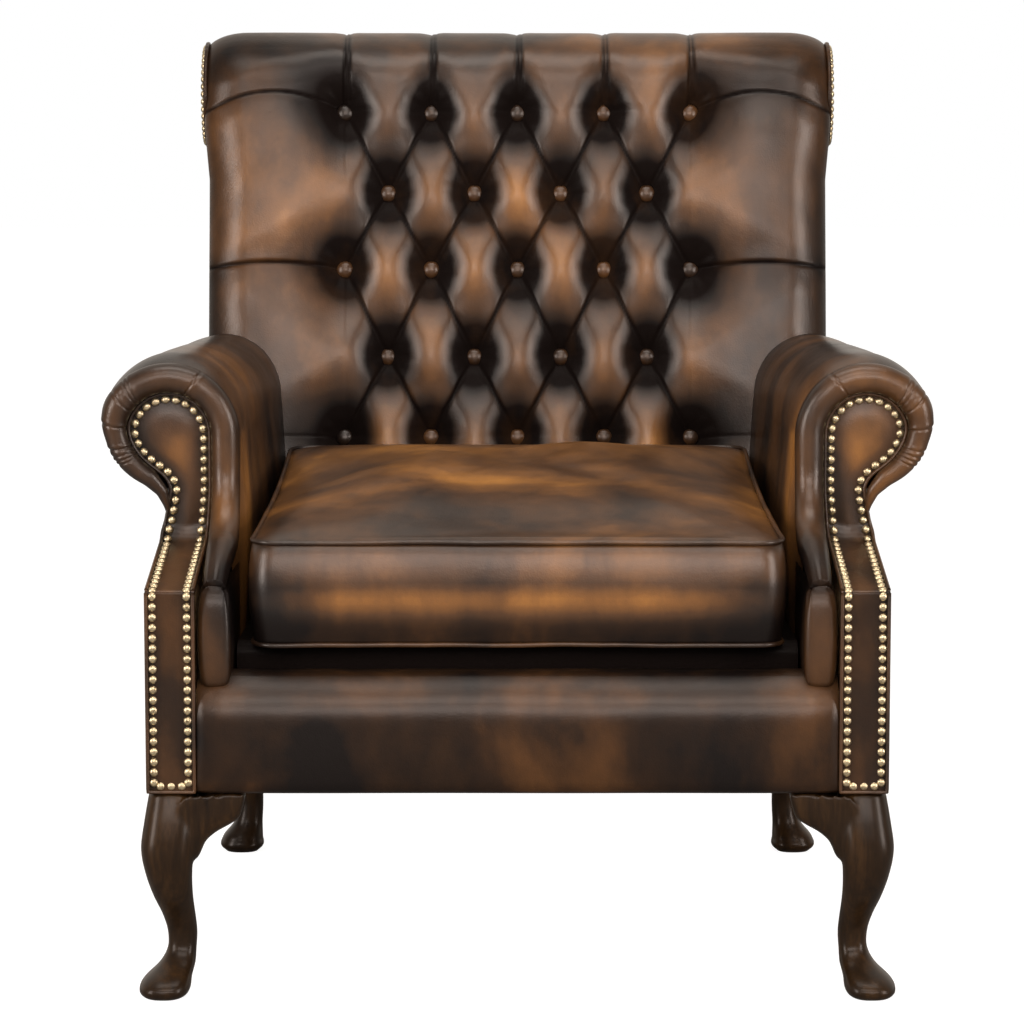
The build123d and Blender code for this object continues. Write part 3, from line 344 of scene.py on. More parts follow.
def leather(name, shift=0.0, grain=1.0, rub=1.0):
    """Antiqued leather: dark in the folds from antique dye and painted shade, rubbed amber on the
    crowns, fine pebble grain.
    """
    n = Nodes(name)
    wear = n.add("ShaderNodeVertexColor", layer_name="wear")
    cloud = n.noise(7.0, 3.0, 0.55, 0.4, offset=(1.0, 1.0, 0.55))
    blotch = n.noise(19.0, 4.0, 0.6, 0.2, offset=(1.0, 1.0, 0.5))
    speck = n.noise(90.0, 3.0, 0.6)
    mixed = n.times(n.centred(cloud), 1.25 * rub)
    mixed = n.plus(mixed, n.times(n.centred(blotch), 0.42 * rub))
    mixed = n.plus(mixed, n.times(n.centred(speck), 0.10))
    stops = [
        (0.0, (0.0046, 0.0032, 0.0029)),
        (0.20, (0.0170, 0.0086, 0.0044)),
        (0.42, (0.0560, 0.0250, 0.0088)),
        (0.64, (0.1350, 0.0590, 0.0160)),
        (0.84, (0.2700, 0.1200, 0.0270)),
        (1.0, (0.4200, 0.2050, 0.0500)),
    ]
    shine = n.noise(38.0, 4.0, 0.6)
    polish = n.times(wear, 2.7, clamp=True)
    n.look(
        Base_Color=n.ramp(n.plus(n.plus(wear, mixed), shift, clamp=True), stops),
        Roughness=n.plus(n.times(shine, 0.16), 0.27),
        Specular_IOR_Level=n.plus(n.times(polish, 0.40), 0.03),
        Coat_Weight=n.times(polish, 0.12),
        Coat_Roughness=0.30,
    )
    place = (n.add("ShaderNodeTexCoord"), "Object")
    pebble = n.add("ShaderNodeTexVoronoi", {"Vector": place, "Scale": 620.0}, feature="SMOOTH_F1")
    creases = n.noise(140.0, 5.0, 0.65, 1.2)
    folds = n.noise(26.0, 3.0, 0.5, 0.8)
    height = n.plus(n.times(pebble, 0.5), n.times(creases, 0.7))
    n.bump(n.plus(height, n.times(folds, 2.2)), 0.16 * grain, 0.0014)
    return n.mat


def wood(name, stops, rough_low, rough_span, coat, scale, grain):
    """Streaks along the grain with fine pores, dull or polished."""
    n = Nodes(name)
    streak = n.noise(grain, 6.0, 0.65, 0.9, offset=scale)
    pores = n.noise(grain * 9, 2.0, 0.5, 0.0, offset=scale)
    fac = n.plus(streak, n.times(n.centred(pores), 0.25), clamp=True)
    n.look(
        Base_Color=n.ramp(fac, stops),
        Roughness=n.plus(n.times(n.noise(14.0, 3.0), rough_span), rough_low),
        Coat_Weight=coat,
        Coat_Roughness=0.2,
        Specular_IOR_Level=0.16,
    )
    n.bump(streak, 0.12, 0.0006)
    return n.mat


def metal(name, base, worn):
    n = Nodes(name)
    patch = n.noise(420.0, 3.0, 0.6)
    tarnish = n.noise(60.0, 4.0, 0.6)
    fac = n.times(n.plus(patch, tarnish), 0.62, clamp=True)
    n.look(
        Base_Color=n.ramp(fac, [(0.35, worn), (0.62, base)]),
        Metallic=1.0,
        Roughness=n.plus(n.times(patch, 0.22), 0.26),
    )
    n.bump(patch, 0.15, 0.0003)
    return n.mat


def cloth(name, low, high, threads):
    """Woven cloth with a number of threads per metre."""
    n = Nodes(name)
    values = {"Vector": (n.add("ShaderNodeTexCoord"), "Object"), "Scale": threads / 6.3}
    waves = [(n.add("ShaderNodeTexWave", values, bands_direction=axis), "Fac") for axis in "XYZ"]
    weave = n.times(n.plus(waves[0], n.plus(waves[1], waves[2])), 0.33)
    mottle = n.noise(45.0, 4.0, 0.6)
    fac = n.plus(n.times(weave, 0.5), n.times(mottle, 0.5), clamp=True)
    n.look(Base_Color=n.ramp(fac, [(0.25, low), (0.75, high)]), Roughness=0.9, Sheen_Weight=0.15)
    n.bump(weave, 0.4, 0.0005)
    return n.mat


hide = leather("antiqued_leather")
hide_seat = leather("cushion_leather", shift=-0.02)
hide_plain = leather("panel_leather", shift=-0.10, rub=0.8)
hide_dark = leather("welt_leather", shift=-0.12, grain=0.6)
# the deck's leather is made near black: painted shade in the gap under the cushion
hide_hidden = leather("deck_leather", shift=-0.30, rub=0.5)
mahogany_tones = [
    (0.25, (0.0045, 0.0023, 0.0010)),
    (0.5, (0.0140, 0.0070, 0.0025)),
    (0.8, (0.0400, 0.0195, 0.0064)),
]
beech_tones = [(0.2, (0.26, 0.16, 0.08)), (0.5, (0.42, 0.28, 0.15)), (0.85, (0.55, 0.40, 0.24))]
mahogany = wood("polished_mahogany", mahogany_tones, 0.30, 0.14, 0.14, (1.0, 1.0, 0.12), 38.0)
beech = wood("raw_hardwood", beech_tones, 0.6, 0.2, 0.0, (0.15, 1.0, 1.0), 50.0)
brass = metal("aged_brass", (0.62, 0.53, 0.35), (0.16, 0.12, 0.06))
zip_brass = metal("dull_brass", (0.42, 0.32, 0.17), (0.16, 0.12, 0.07))
steel = metal("plain_steel", (0.56, 0.56, 0.57), (0.3, 0.3, 0.31))
jute = cloth("jute_webbing", (0.24, 0.17, 0.09), (0.46, 0.35, 0.20), 1500.0)
black_cloth = cloth("black_underlining", (0.006, 0.006, 0.007), (0.02, 0.02, 0.021), 2600.0)
tape_cloth = cloth("zip_tape_weave", (0.012, 0.007, 0.005), (0.04, 0.02, 0.014), 2600.0)
foam_mat = cloth("foam", (0.55, 0.48, 0.30), (0.72, 0.65, 0.44), 2200.0)


def dress(obj, material, nodes=(), slot="leather", body="chair", fill=None):
    """Material and body of a piece, and the CAD nodes that it stands for."""
    obj.data.materials.clear()
    obj.data.materials.append(material)
    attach(obj, body)
    if nodes:
        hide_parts(*nodes)
    return obj


# Inside back
def pleat(distance, reach):
    """Share of a fold's full depth at a distance: a wide rounded valley with a sharp bottom."""
    soft = 2.2
    near = clamp(1 - (np.sqrt(distance**2 + soft**2) - soft) / reach)
    return 0.76 * np.sin(pi / 2 * near) ** 2 + 0.24 * near**8


BUTTONS = []
for row, place in enumerate(ROWS):
    for col in range(-2, 3 - row % 2):
        BUTTONS.append(((col + 0.5 * (row % 2)) * BUTTON_PITCH, place))
FIELD = 2 * BUTTON_PITCH  # half width of the buttoned part
ROW_STEP = 92.0  # height of a row of buttons
DIAMOND = 87.3  # distance between two slanting creases
LEVEL_GAP = 184.0  # from one crosswise pleat to the next


def back_relief(u, s):
    """Height of the leather off the back's face in mm, its rubbed tone with painted shade in creases and
    hollows, and the crease mask.
    """
    p = BUTTON_PITCH
    side = clamp((np.abs(u) - FIELD) / (356.0 - FIELD))
    bow = np.sin(pi * side)
    s = s - 24.0 * bow * bell(s - ROWS[4], 60.0)
    s = s - 6.0 * bow * bell(s - ROWS[2], 50.0)
    v = np.interp(s, ROWS, range(5))
    v = np.where(s < ROWS[0], (s - ROWS[0]) / ROW_STEP, v)
    v = np.where(s > ROWS[4], 4 + (s - ROWS[4]) / ROW_STEP, v)
    a, b = u / p + v / 2, u / p - v / 2
    da, db = np.abs(a - np.round(a)) * DIAMOND, np.abs(b - np.round(b)) * DIAMOND
    diamond = 0.5 * (pleat(da, DIAMOND / 2) + pleat(db, DIAMOND / 2))
    over, under = np.clip(v - 4, 0, None), np.clip(-v, 0, None)
    # upright pleats over the top, and short ones down into the seat
    aside = (u / p - np.clip(np.round(u / p), -2, 2)) * p
    rise = clamp(over / 0.8)
    top_depth = 0.93 * (1 - rise) ** 1.7 + 0.07 * clamp(1 - (over - 1.9) / 2.2)
    flute = pleat(np.abs(aside), p / 2 * (1 - 0.72 * rise)) * top_depth
    low_flute = pleat(np.abs(aside), p / 2) * clamp(1 - under / 1.2)
    # crosswise pleats beside the buttons
    level = (v / 2 - np.clip(np.round(v / 2), 0, 2)) * LEVEL_GAP
    beyond = np.clip(np.abs(u) - FIELD, 0, None)
    reach = 92.0 - 66.0 * clamp(beyond / 120.0) ** 1.3
    fading = 0.84 * np.exp(-((beyond / 50.0) ** 1.6)) + 0.16 * (1 - 0.3 * side)
    cross = pleat(np.abs(level), reach) * fading
    in_u, in_v = np.abs(u) <= FIELD, (v >= 0) & (v <= 4)
    upright = np.where(v > 4, flute, low_flute) * bell(beyond, 34.0)
    outer = (cross**3 + upright**3) ** (1 / 3)
    regions = [in_u & in_v, in_u & (v > 4), in_u, in_v]
    w = np.select(regions, [diamond, flute, low_flute, cross], outer)
    # crisp fold lines, doubled over the top
    regions = [in_u & in_v, in_u, in_v]
    second = np.where(over > 0.12, np.abs(aside - 4.2), 99.0)
    across = np.minimum(np.abs(aside), second)
    outer_line = np.minimum(np.abs(level), np.where(v > 4, across, 99.0))
    line_d = np.select(regions, [np.minimum(da, db), across, np.abs(level)], outer_line)
    strength = np.where(over > 0, np.clip(1.0 - over / 3.4, 0.6, 1), 1.0) * (1 - 0.2 * side)
    strength = strength * np.where((side > 0) & (v < 0.8), 0.0, 1.0)
    line = bell(line_d, 1.9) * strength
    # one lip of each fold stands over the other
    turned = np.where(da < db, a - np.round(a), np.round(b) - b) * DIAMOND
    signed = np.select(regions, [turned, aside, level], 0.0)
    lip = np.tanh(signed / 2.0) * np.exp(-np.abs(signed) / 8.0)
    near, deep, ang = np.full_like(u, 1e9), np.full_like(u, 1e9), np.zeros_like(u)
    for bu, bs in BUTTONS:
        r = np.hypot(u - bu, s - bs)
        ang = np.where(r < near, np.arctan2(s - bs, u - bu), ang)
        near = np.minimum(near, r)
        deep = np.minimum(deep, np.hypot((u - bu) / 0.92, (s - bs) / 1.22))
    gathers = np.cos(9 * ang + 0.02 * u) * bell(near - 21.0, 8.0)
    full = 7.0 * np.sin(pi * side) ** 1.5 * (1 - 0.9 * rise)
    h = 4.5 - 21.0 * w - 7.0 * bell(near, 16.0) - 1.9 * line + 1.1 * lip + 0.35 * gathers + full
    puff = clamp(1 - 1.5 * w)
    # rubbed amber on the puffs; crease lines and the hollows round the buttons darkened as painted
    # shade, in the hollows also antique dye; darker towards the sides and over the top of the roll
    wear = 0.22 + 0.42 * puff**1.5 - 0.34 * line - 0.80 * np.exp(-((deep / 26.0) ** 2.2))
    wear = wear - 0.27 * clamp(side * 1.6) - 0.23 * clamp(over / 0.6)
    return h, clamp(wear), line


def back_face(u, s, out):
    """Point (x, depth, z) off the back's sloping face."""
    depth, z = s * sin(LEAN) - out * cos(LEAN), s * cos(LEAN) + out * sin(LEAN)
    return u, TUCK_DEPTH + depth, TUCK_Z + z


def back_sheet():
    """Leather from the tuck up the face and over the roll, with rounded sides."""
    step = 1.9
    round_r, round_x, board = 22.0, 46.0, 52.5
    roll_in, face_run = 14.0, 358.0
    flat_end = 310.0
    s_rows = np.arange(-152.0, ROLL_RUN + radians(237.0) * ROLL_R, step)
    flat = np.linspace(-flat_end, flat_end, round(2 * flat_end / step))
    arc = np.linspace(0, pi / 2, 22)[1:]
    skirt = np.array([0.12, 0.3, 0.55, 0.8, 1.0])
    cols = len(flat) + 2 * (len(arc) + len(skirt))
    pts = np.zeros((len(s_rows), cols, 3))
    wear = np.zeros((len(s_rows), cols))
    arc_x = np.concatenate([round_x * np.sin(arc), np.full(len(skirt), round_x)])
    keep = np.concatenate([np.cos(arc) ** 2, 0 * skirt])
    keep = np.concatenate([keep[::-1], 1 + 0 * flat, keep])
    top_depth = TUCK_DEPTH + face_run * sin(LEAN)
    plane_in = (outside(820) - board - top_depth) / cos(LEAN) - round_r
    for i, s in enumerate(s_rows):
        if s <= 0:
            depth, z = TUCK_DEPTH, TUCK_Z + s
            blend = clamp(1 + s / 40.0)
            n = (-cos(LEAN * blend), sin(LEAN * blend))
        elif s <= ROLL_RUN:
            depth, z = TUCK_DEPTH + s * sin(LEAN), TUCK_Z + s * cos(LEAN)
            n = (-cos(LEAN), sin(LEAN))
        else:
            turn = pi - LEAN - (s - ROLL_RUN) / ROLL_R
            n = (cos(turn), sin(turn))
            depth, z = ROLL_D + ROLL_R * n[0], ROLL_Z + ROLL_R * n[1]
        if s <= ROLL_RUN:
            wide = np.interp(z, [0, 790, 850], [353.5, 353.5, 359.5])
            inward = (outside(z) - board - depth) / cos(LEAN) - round_r
        else:
            wide = 359.5
            inward = plane_in + clamp((s - ROLL_RUN + 40) / 70.0) * (roll_in - plane_in)
        out = np.concatenate([-round_r * (1 - np.cos(arc)), -round_r - inward * skirt])
        flat_half = wide - round_x
        x = np.concatenate([-flat_half - arc_x[::-1], flat * flat_half / flat_end, flat_half + arc_x])
        o = np.concatenate([out[::-1], 0 * flat, out])
        h, w, line = back_relief(np.clip(x, -356, 356), np.full(cols, s))
        h = h - 4.5 * clamp((s - ROLL_RUN + 20.0) / 90.0)
        late = clamp((s - ROLL_RUN - 150.0) / 60.0)
        o = o + h * (1 - late) * keep + (1 - keep) * -1.6 * line
        pts[i] = np.stack([x, depth + n[0] * o, z + n[1] * o], 1)
        # painted shade: the tone is darker where the sheet rounds back at the sides
        wear[i] = w * (0.55 + 0.45 * keep)
    soft = np.array([rough(p, 0.011, 3.0) + 0.4 * rough(p, 0.03, 7.0) for p in pts.reshape(-1, 3)])
    pts[:, :, 1] += (soft * 1.6).reshape(pts.shape[:2])
    return grid("tufted_back", pts, wear)


dress(back_sheet(), hide, ["back_pad"], fill=0.8)


def ring_walls(start, rings, sides):
    """Faces between rings of points, then to one last point."""
    faces = []
    tip = start + rings * sides
    for ring in range(rings):
        for k in range(sides):
            a, b = start + ring * sides + k, start + ring * sides + (k + 1) % sides
            faces.append((a, b, b + sides, a + sides) if ring < rings - 1 else (a, b, tip))
    return faces


def button_set():
    verts, faces, wear = [], [], []
    profile = [(9.6, -9.0), (10.4, -4.0), (10.2, -1.2), (9.0, 1.4), (6.6, 3.4), (3.4, 4.6)]
    sides, sunk, crown = 20, -20.5, 5.0
    # rims darker, partly antique dye and partly painted shade in the hollow; crowns lighter, partly
    # rubbed and partly a painted highlight
    for u, s in BUTTONS:
        faces += ring_walls(len(verts), len(profile), sides)
        for ring, (r, up) in enumerate(profile):
            for turn in ring_turns(sides):
                verts.append(back_face(u + r * cos(turn), s + r * sin(turn), sunk + up))
                wear.append(0.22 if ring < 3 else 0.4)
        verts.append(back_face(u, s, sunk + crown))
        wear.append(0.5)
    return make("covered_buttons", verts, faces, wear)


dress(button_set(), hide_dark, ["back_buttons"], "button_leather")


# Arms
# the scroll's edge and the padded border round it, by their turns in degrees
EDGE_TURNS = [-95.0, -84.0, -61.0, -33.0, -12.0, 15.0, 28.0]
EDGE_SHARES = [1.0, 0.97, 0.88, 0.87, 0.92, 1.0, 1.0]
RING_TURNS = [-95.0, -80.0, -68.0, -43.0, -22.0, -2.0, 12.0, 28.0, 45.0]
RING_RADII = [66.0, 60.5, 58.0, 58.3, 61.2, 65.0, 69.5, 73.6, 74.0]


def edge_share(turn):
    """Share of the scroll's radius left where its edge runs straight to the waist."""
    return spline(EDGE_TURNS, EDGE_SHARES, np.clip(np.degrees(turn), -95.0, 28.0))


def ring_outside(turn):
    """Radius of the padded border's outside round the scroll."""
    return spline(RING_TURNS, RING_RADII, np.clip(np.degrees(turn), -95.0, 45.0))


def drawn_in(x, z):
    """Facing points moved in under the scroll's outer side."""
    dx, dz = np.abs(x) - SCROLL_X, z - SCROLL_Z
    r = np.hypot(dx, dz)
    cut = (1 - edge_share(np.arctan2(dz, dx))) * clamp(r / 40.0) * clamp((80.0 - r) / 18.0)
    return np.copysign(SCROLL_X + dx * (1 - cut), x), SCROLL_Z + dz * (1 - cut)


ARM_FRONT, ARM_REAR = 150.0, 700.0
# x, z, half width and half height of the arm's roll
ARM_START = np.array([361.0, 566.0, 72.0, 78.0])
ARM_END = np.array([328.0, 541.5, 72.0 * 0.883, 78.0 * 0.883])


def arm_place(depth):
    depth = min(depth, 705.0)
    return ARM_START + (depth - ARM_FRONT) / (ARM_REAR - ARM_FRONT) * (ARM_END - ARM_START)


def arm_roll_row(depth, shrink):
    """Points and tone of the arm's roll at one depth, with painted shade on the tuck under it."""
    cx, cz, hw, hh = arm_place(depth)
    ease = clamp((190.0 - depth) / 50.0) ** 1.7
    front = clamp((420.0 - depth) / 260.0)
    row, shade = [], []
    for turn in np.radians(np.linspace(-104.0, 180.0, 84)):
        tuck = max(0.0, (-degrees(turn) - 52.0) / 52.0)
        x = cx + hw * cos(turn) * shrink
        z = cz + hh * sin(turn) * shrink
        ring = float(ring_outside(turn))
        under = clamp((degrees(turn) + 88.0) / 20.0)
        behind = 0.35 + 0.65 * clamp((330.0 - depth) / 140.0)
        narrow = 1 - (1 - ring / RING_RADII[-1]) * under * behind
        x, z = cx + (x - cx) * narrow, cz + (z - cz) * narrow
        x += ease * (SCROLL_X + (ring - 1.4) * cos(turn) - x)
        z += ease * (SCROLL_Z + (ring - 1.4) * sin(turn) - z)
        slow = rough((x, depth, z), 0.012, 1.0) * 1.6 + rough((x, depth * 0.35, z), 0.03, 9.0) * 0.7
        x += slow * cos(turn) - tuck**1.5 * 6.0
        z += slow * sin(turn) + tuck**1.5 * 7.0
        row.append((x, depth, z))
        inward = max(0.0, cos(turn - radians(165))) ** 1.5
        # painted shade: darker on the tuck under the roll
        shade.append(0.20 + 0.30 * inward * front - 0.12 * tuck)
    return row, shade


def arm_wall_row(depth, shrink):
    """Points and tone of the inside arm under its roll at one depth: an amber stripe near the front,
    darker towards the seat.
    """
    cx, cz, hw, _ = arm_place(depth)
    post_x, seat_z = 297.0, 317.5
    front = 0.10 * max(0.0, (420.0 - depth) / 260.0)
    stripe = 0.18 + 0.40 * bell(depth - 185.0, 45.0)
    row, shade = [], []
    for drop in np.linspace(0, 1, 30)[1:]:
        bulge = 5.0 * sin(pi * min(drop * 1.15, 1.0)) ** 1.3
        x = cx - hw - 4.0 * drop - bulge + (1 - shrink) * 60
        x += clamp((165.0 - depth) / 26.0) * (post_x - x)
        z = cz + drop * (seat_z - cz)
        x += rough((x, depth, z), 0.014, 5.0) * 1.4
        row.append((x, depth, z))
        shade.append(stripe * (1 - 0.5 * drop) + front)
    return row, shade


def arm_sheet():
    """Inside arm, its roll and the tuck under it, for the right arm."""
    depths = [139.0, 141.0, 143.5, *np.arange(146.0, 640.0, 5.0), *np.arange(640.0, 706.0, 5.5)]
    places = [(depth, 1.0) for depth in depths] + [(706.5, 0.97), (708.0, 0.80), (708.5, 0.02)]
    pts, wear = [], []
    for depth, shrink in places:
        row, shade = arm_roll_row(depth, shrink)
        wall, wall_shade = arm_wall_row(depth, shrink)
        pts.append(row + wall)
        wear.append(shade + wall_shade)
    pts = np.array(pts)
    # the rear end follows the leaning frame
    rear = clamp((pts[:, :, 1] - 560.0) / 145.0)
    pts[:, :, 1] += rear * ((pts[:, :, 2] - ARM_END[1]) * tan(FRAME_LEAN) - 12.0)
    return grid("right_inside_arm", pts, wear, flip=True)


def front_puff():
    """Padded end of the inside arm beside the post."""
    rows, cols = 30, 48
    low, high, half_width, cx = 319.0, 428.0, 17.5, 307.0
    pts, wear = [], []
    for t in np.linspace(0, 1, rows):
        z = low + t * (high - low)
        front = 3.0 + 40.0 * max(0, t - 0.78) ** 1.5
        swell = sin(pi * clamp(t * 1.08)) ** 0.35
        half = half_width * (0.62 + 0.38 * swell)
        gathered = 0.10 * max(0.0, t - 0.72) / 0.28
        row = [(cx + half_width, 150.0, z)]
        turns = [pi * k / (cols - 1) for k in range(cols)]
        for a in turns[1:-1]:
            x = cx + half * copysign(abs(cos(a)) ** 0.55, cos(a)) * (1 + gathered * cos(9 * a))
            row.append((x, front + 16.0 * (1 - sin(a) ** 0.55) + (1 - swell) * 9.0, z))
        row.append((cx - half_width, 150.0, z))
        pts.append(row)
        wear.append([0.14 + 0.16 * sin(a) * swell for a in turns])
    return grid("right_arm_front", pts, wear, flip=True)


def both_sides(obj, part, nodes="", **look):
    """Left copy of a right-hand piece, and both dressed."""
    left = mirrored(obj, f"left_{part}")
    for item, side in ((obj, "right"), (left, "left")):
        dress(item, nodes=[nodes.format(side)] if nodes else (), **look)


both_sides(arm_sheet(), "inside_arm", material=hide, nodes="{}_arm_pad", fill=0.8)
both_sides(front_puff(), "arm_front", material=hide, fill=0.8)


NECK_R = 78.0  # bend from the neck forwards to the post


def border_route():
    """Centre line and radius of the padded border: waist, scroll, neck, and forward to the post."""
    route = [(362.3, 141.0, 477.0), (363.2, 139.0, 488.0), (368.3, 137.0, 503.4)]
    size = [1.2, 3.6, 6.6]
    for turn in np.radians(np.linspace(-66.0, 180.0, 90)):
        edge, outer = SCROLL_R * float(edge_share(turn)), float(ring_outside(turn))
        reach = (edge + outer) / 2
        route.append((SCROLL_X + reach * cos(turn), RING_D, SCROLL_Z + reach * sin(turn)))
        size.append((outer - edge) / 2)
    inner = SCROLL_X - (SCROLL_R + RING_RADII[-1]) / 2
    centre_z = BEND_Z - NECK_R * SLOPE + NECK_R * sqrt(1 + SLOPE**2)
    for z in np.linspace(SCROLL_Z, centre_z, 10)[1:]:
        route.append((inner, RING_D, z))
    for turn in np.linspace(0, -(pi / 2 - atan(SLOPE)), 18)[1:]:
        route.append((inner, RING_D - NECK_R + NECK_R * cos(turn), centre_z + NECK_R * sin(turn)))
    start, end = np.array(route[-1]), np.array([inner + 5.0, 15.0, 430.0])
    for t in np.linspace(0, 1, 16)[1:]:
        route.append(start + t * (end - start) - np.array([0, 0, 8.0 * t**3]))
    size += [(RING_RADII[-1] - SCROLL_R) / 2] * (len(route) - len(size))
    route = np.array(route)
    fine = np.arange(0, runs_of(route)[-1], 1.0)
    line = np.column_stack([path_at(route, fine), np.interp(fine, runs_of(route), size)])
    return fine, eased(line, 12)


PLEATS = {  # distance along the border and depth, in mm
    "left": [
        (64.5, 1.3), (68.3, 1.7), (73, 1.2), (80, 1.5), (104, 1.2),
        (130.5, 1.2), (143, 1.5), (147, 1.5), (213, 1.2),
    ],
    "right": [
        (62, 1.2), (67, 1.6), (72, 1.4), (78, 1.2), (101, 1.3),
        (127, 1.4), (139, 1.2), (145, 1.4), (216, 1.2),
    ],
}


def border(side, sign):
    """Pleated roll along its route, on the right and reflected for the left."""
    fine, line = border_route()
    route, sizes = line[:, :3], line[:, 3]
    pts, wear, up = [], [], Vector((0, -1, 0))
    for i, at in enumerate(fine):
        along = Vector(route[min(i + 1, len(fine) - 1)] - route[max(i - 1, 0)]).normalized()
        up = (up - up.dot(along) * along).normalized()
        across = along.cross(up)
        left = fine[-1] - at
        size = float(sizes[i]) * (0.72 + 0.28 * min(1.0, left / 60.0))
        # painted shade: darker towards the lower end, which lies in shadow on the slope
        end_shade = 0.35 + 0.65 * min(1.0, left / 110.0)
        row, shade = [], []
        for a in ring_turns(28):
            r = size
            front = max(0.0, cos(a))
            for place, depth in PLEATS[side]:
                off = at - place - 10.0 - 3.0 * sin(a)
                r -= depth * bell(off, 1.1) * (0.5 + 0.5 * front)
                r += depth * 0.30 * bell(off - 3.0, 2.4)
            if left < 40:
                r *= 1 + 0.07 * cos(8 * a) * (1 - left / 40)
            spot = Vector(route[i]) + float(r) * (cos(a) * up + 1.03 * sin(a) * across)
            spot += rough(spot, 0.02, 4.0) * 0.8 * (cos(a) * up + sin(a) * across)
            row.append(tuple(spot))
            shade.append((0.20 + 0.24 * front**1.5) * end_shade)
        pts.append(row)
        wear.append(shade)
    pts.append([tuple(np.mean(row, axis=0))] * len(row))
    wear.append(shade)
    obj = grid(f"{side}_arm_border_roll", pts, wear, close_cols=True)
    if sign < 0:
        reflect(obj.data)
    return obj


for side, sign in SIDES:
    dress(border(side, sign), hide, [f"{side}_arm_border"], fill=0.9)


# Scroll facings
WAIST_X = SCROLL_X + WAIST_R
WAIST_Z = SCROLL_Z - sqrt((SCROLL_R + WAIST_R) ** 2 - WAIST_R**2)


def scroll_outline(inset, spacing):
    """Points (x, z) up the inner edge of the scroll, over it and down the outer edge."""
    r, hollow = SCROLL_R - inset, WAIST_R + inset
    meet = atan2(WAIST_Z - SCROLL_Z, WAIST_X - SCROLL_X)
    pts = [(NECK_IN + inset, SLOPE_B), (SCROLL_X - r, WAIST_Z)]
    for a in np.linspace(pi, meet, 60):
        pts.append((SCROLL_X + r * cos(a), SCROLL_Z + r * sin(a)))
    for a in np.linspace(meet + pi, pi, 16):
        pts.append((WAIST_X + hollow * cos(a), WAIST_Z + hollow * sin(a)))
    pts.append((NECK_OUT - inset, SLOPE_B))
    pts = np.array(pts)
    return path_at(pts, np.arange(0, runs_of(pts)[-1], spacing))


def facing_path(inset, lift, sign, spacing=3.0):
    """Line along the facing's edge, over its surface, in mm."""
    pts = []
    for t in np.linspace(0, 1, 30)[:-1]:
        x = POST_IN + t * (NECK_IN - POST_IN) + inset
        pts.append((x, t * SET_BACK, SLOPE_F + t * (SLOPE_B - SLOPE_F)))
    for x, z in scroll_outline(inset, 2.5):
        pts.append((x, SET_BACK, z))
    for t in np.linspace(1, 0, 30)[1:]:
        x = POST_OUT + t * (NECK_OUT - POST_OUT) - inset
        pts.append((x, t * SET_BACK, SLOPE_F + t * (SLOPE_B - SLOPE_F)))
    pts = np.array(pts)
    pts[:, 0], pts[:, 2] = drawn_in(pts[:, 0], pts[:, 2])
    # the two bends are eased, and the line is lifted off the leather
    pts = eased(pts, 3)
    bent = 22.0 * tan(0.5 * (pi / 2 - atan(SLOPE)))
    near = np.hypot(pts[:, 1] - SET_BACK, pts[:, 2] - SLOPE_B)
    ease = clamp(1 - near / bent) ** 1.5 * 5.5
    pts[:, 1] -= ease
    pts[:, 2] += ease
    slope = pts[:, 1] < SET_BACK - 0.5
    pts[:, 1] -= np.where(slope, lift * 0.25, lift)
    pts[:, 2] += np.where(slope, lift, 0.0)
    pts = path_at(pts, np.arange(0, runs_of(pts)[-1], spacing))
    pts[:, 0] *= sign
    return pts


def post_path(inset, lift, sign):
    """Line down the post facing's inner edge, across its foot and up the outer edge."""
    outer, inner = POST_OUT - inset, POST_IN + inset
    low = LEG_H + inset
    pts = [(inner, -lift, z) for z in np.linspace(SLOPE_F - 1, low, 60)]
    pts += [(x, -lift, low) for x in np.linspace(inner, outer, 16)[1:-1]]
    pts += [(outer, -lift, z) for z in np.linspace(low, SLOPE_F - 1, 60)]
    return np.array(pts) * (sign, 1, 1)


def dome(sides=16, rings=5, radius=4.6, height=3.4):
    """Points and faces of one nail head."""
    verts = []
    for i in range(rings):
        a = pi / 2 * i / rings
        for t in ring_turns(sides):
            verts.append((radius * cos(a) * cos(t), radius * cos(a) * sin(t), height * sin(a)))
    verts.append((0, 0, height))
    return verts, ring_walls(0, rings, sides)


def nail_heads(name, places, node):
    """Domed heads from (place, normal) pairs in mm, each a little askew."""
    base, base_faces = dome()
    verts, faces = [], []
    for i, (place, normal) in enumerate(places):
        normal = Vector(normal).normalized()
        turn = normal.to_track_quat("Z", "Y").to_matrix()
        tip_x, tip_y = noise.noise(Vector((i * 3.7, 0, 0))), noise.noise(Vector((0, i * 2.3, 5)))
        lean = Matrix.Rotation(tip_x * 0.10, 3, "X") @ Matrix.Rotation(tip_y * 0.10, 3, "Y")
        faces += [tuple(len(verts) + k for k in face) for face in base_faces]
        for v in base:
            verts.append(tuple(Vector(place) + turn @ (lean @ Vector(v)) - normal * 0.35))
    dress(make(name, verts, faces), brass, [node], "nail_brass")


def spaced(path):
    """Points a nail's pitch apart along a path, just in from both its ends."""
    pitch, margin = 10.7, 4.0
    end = runs_of(path)[-1] - margin
    return path_at(path, np.linspace(margin, end, round((end - margin) / pitch) + 1))


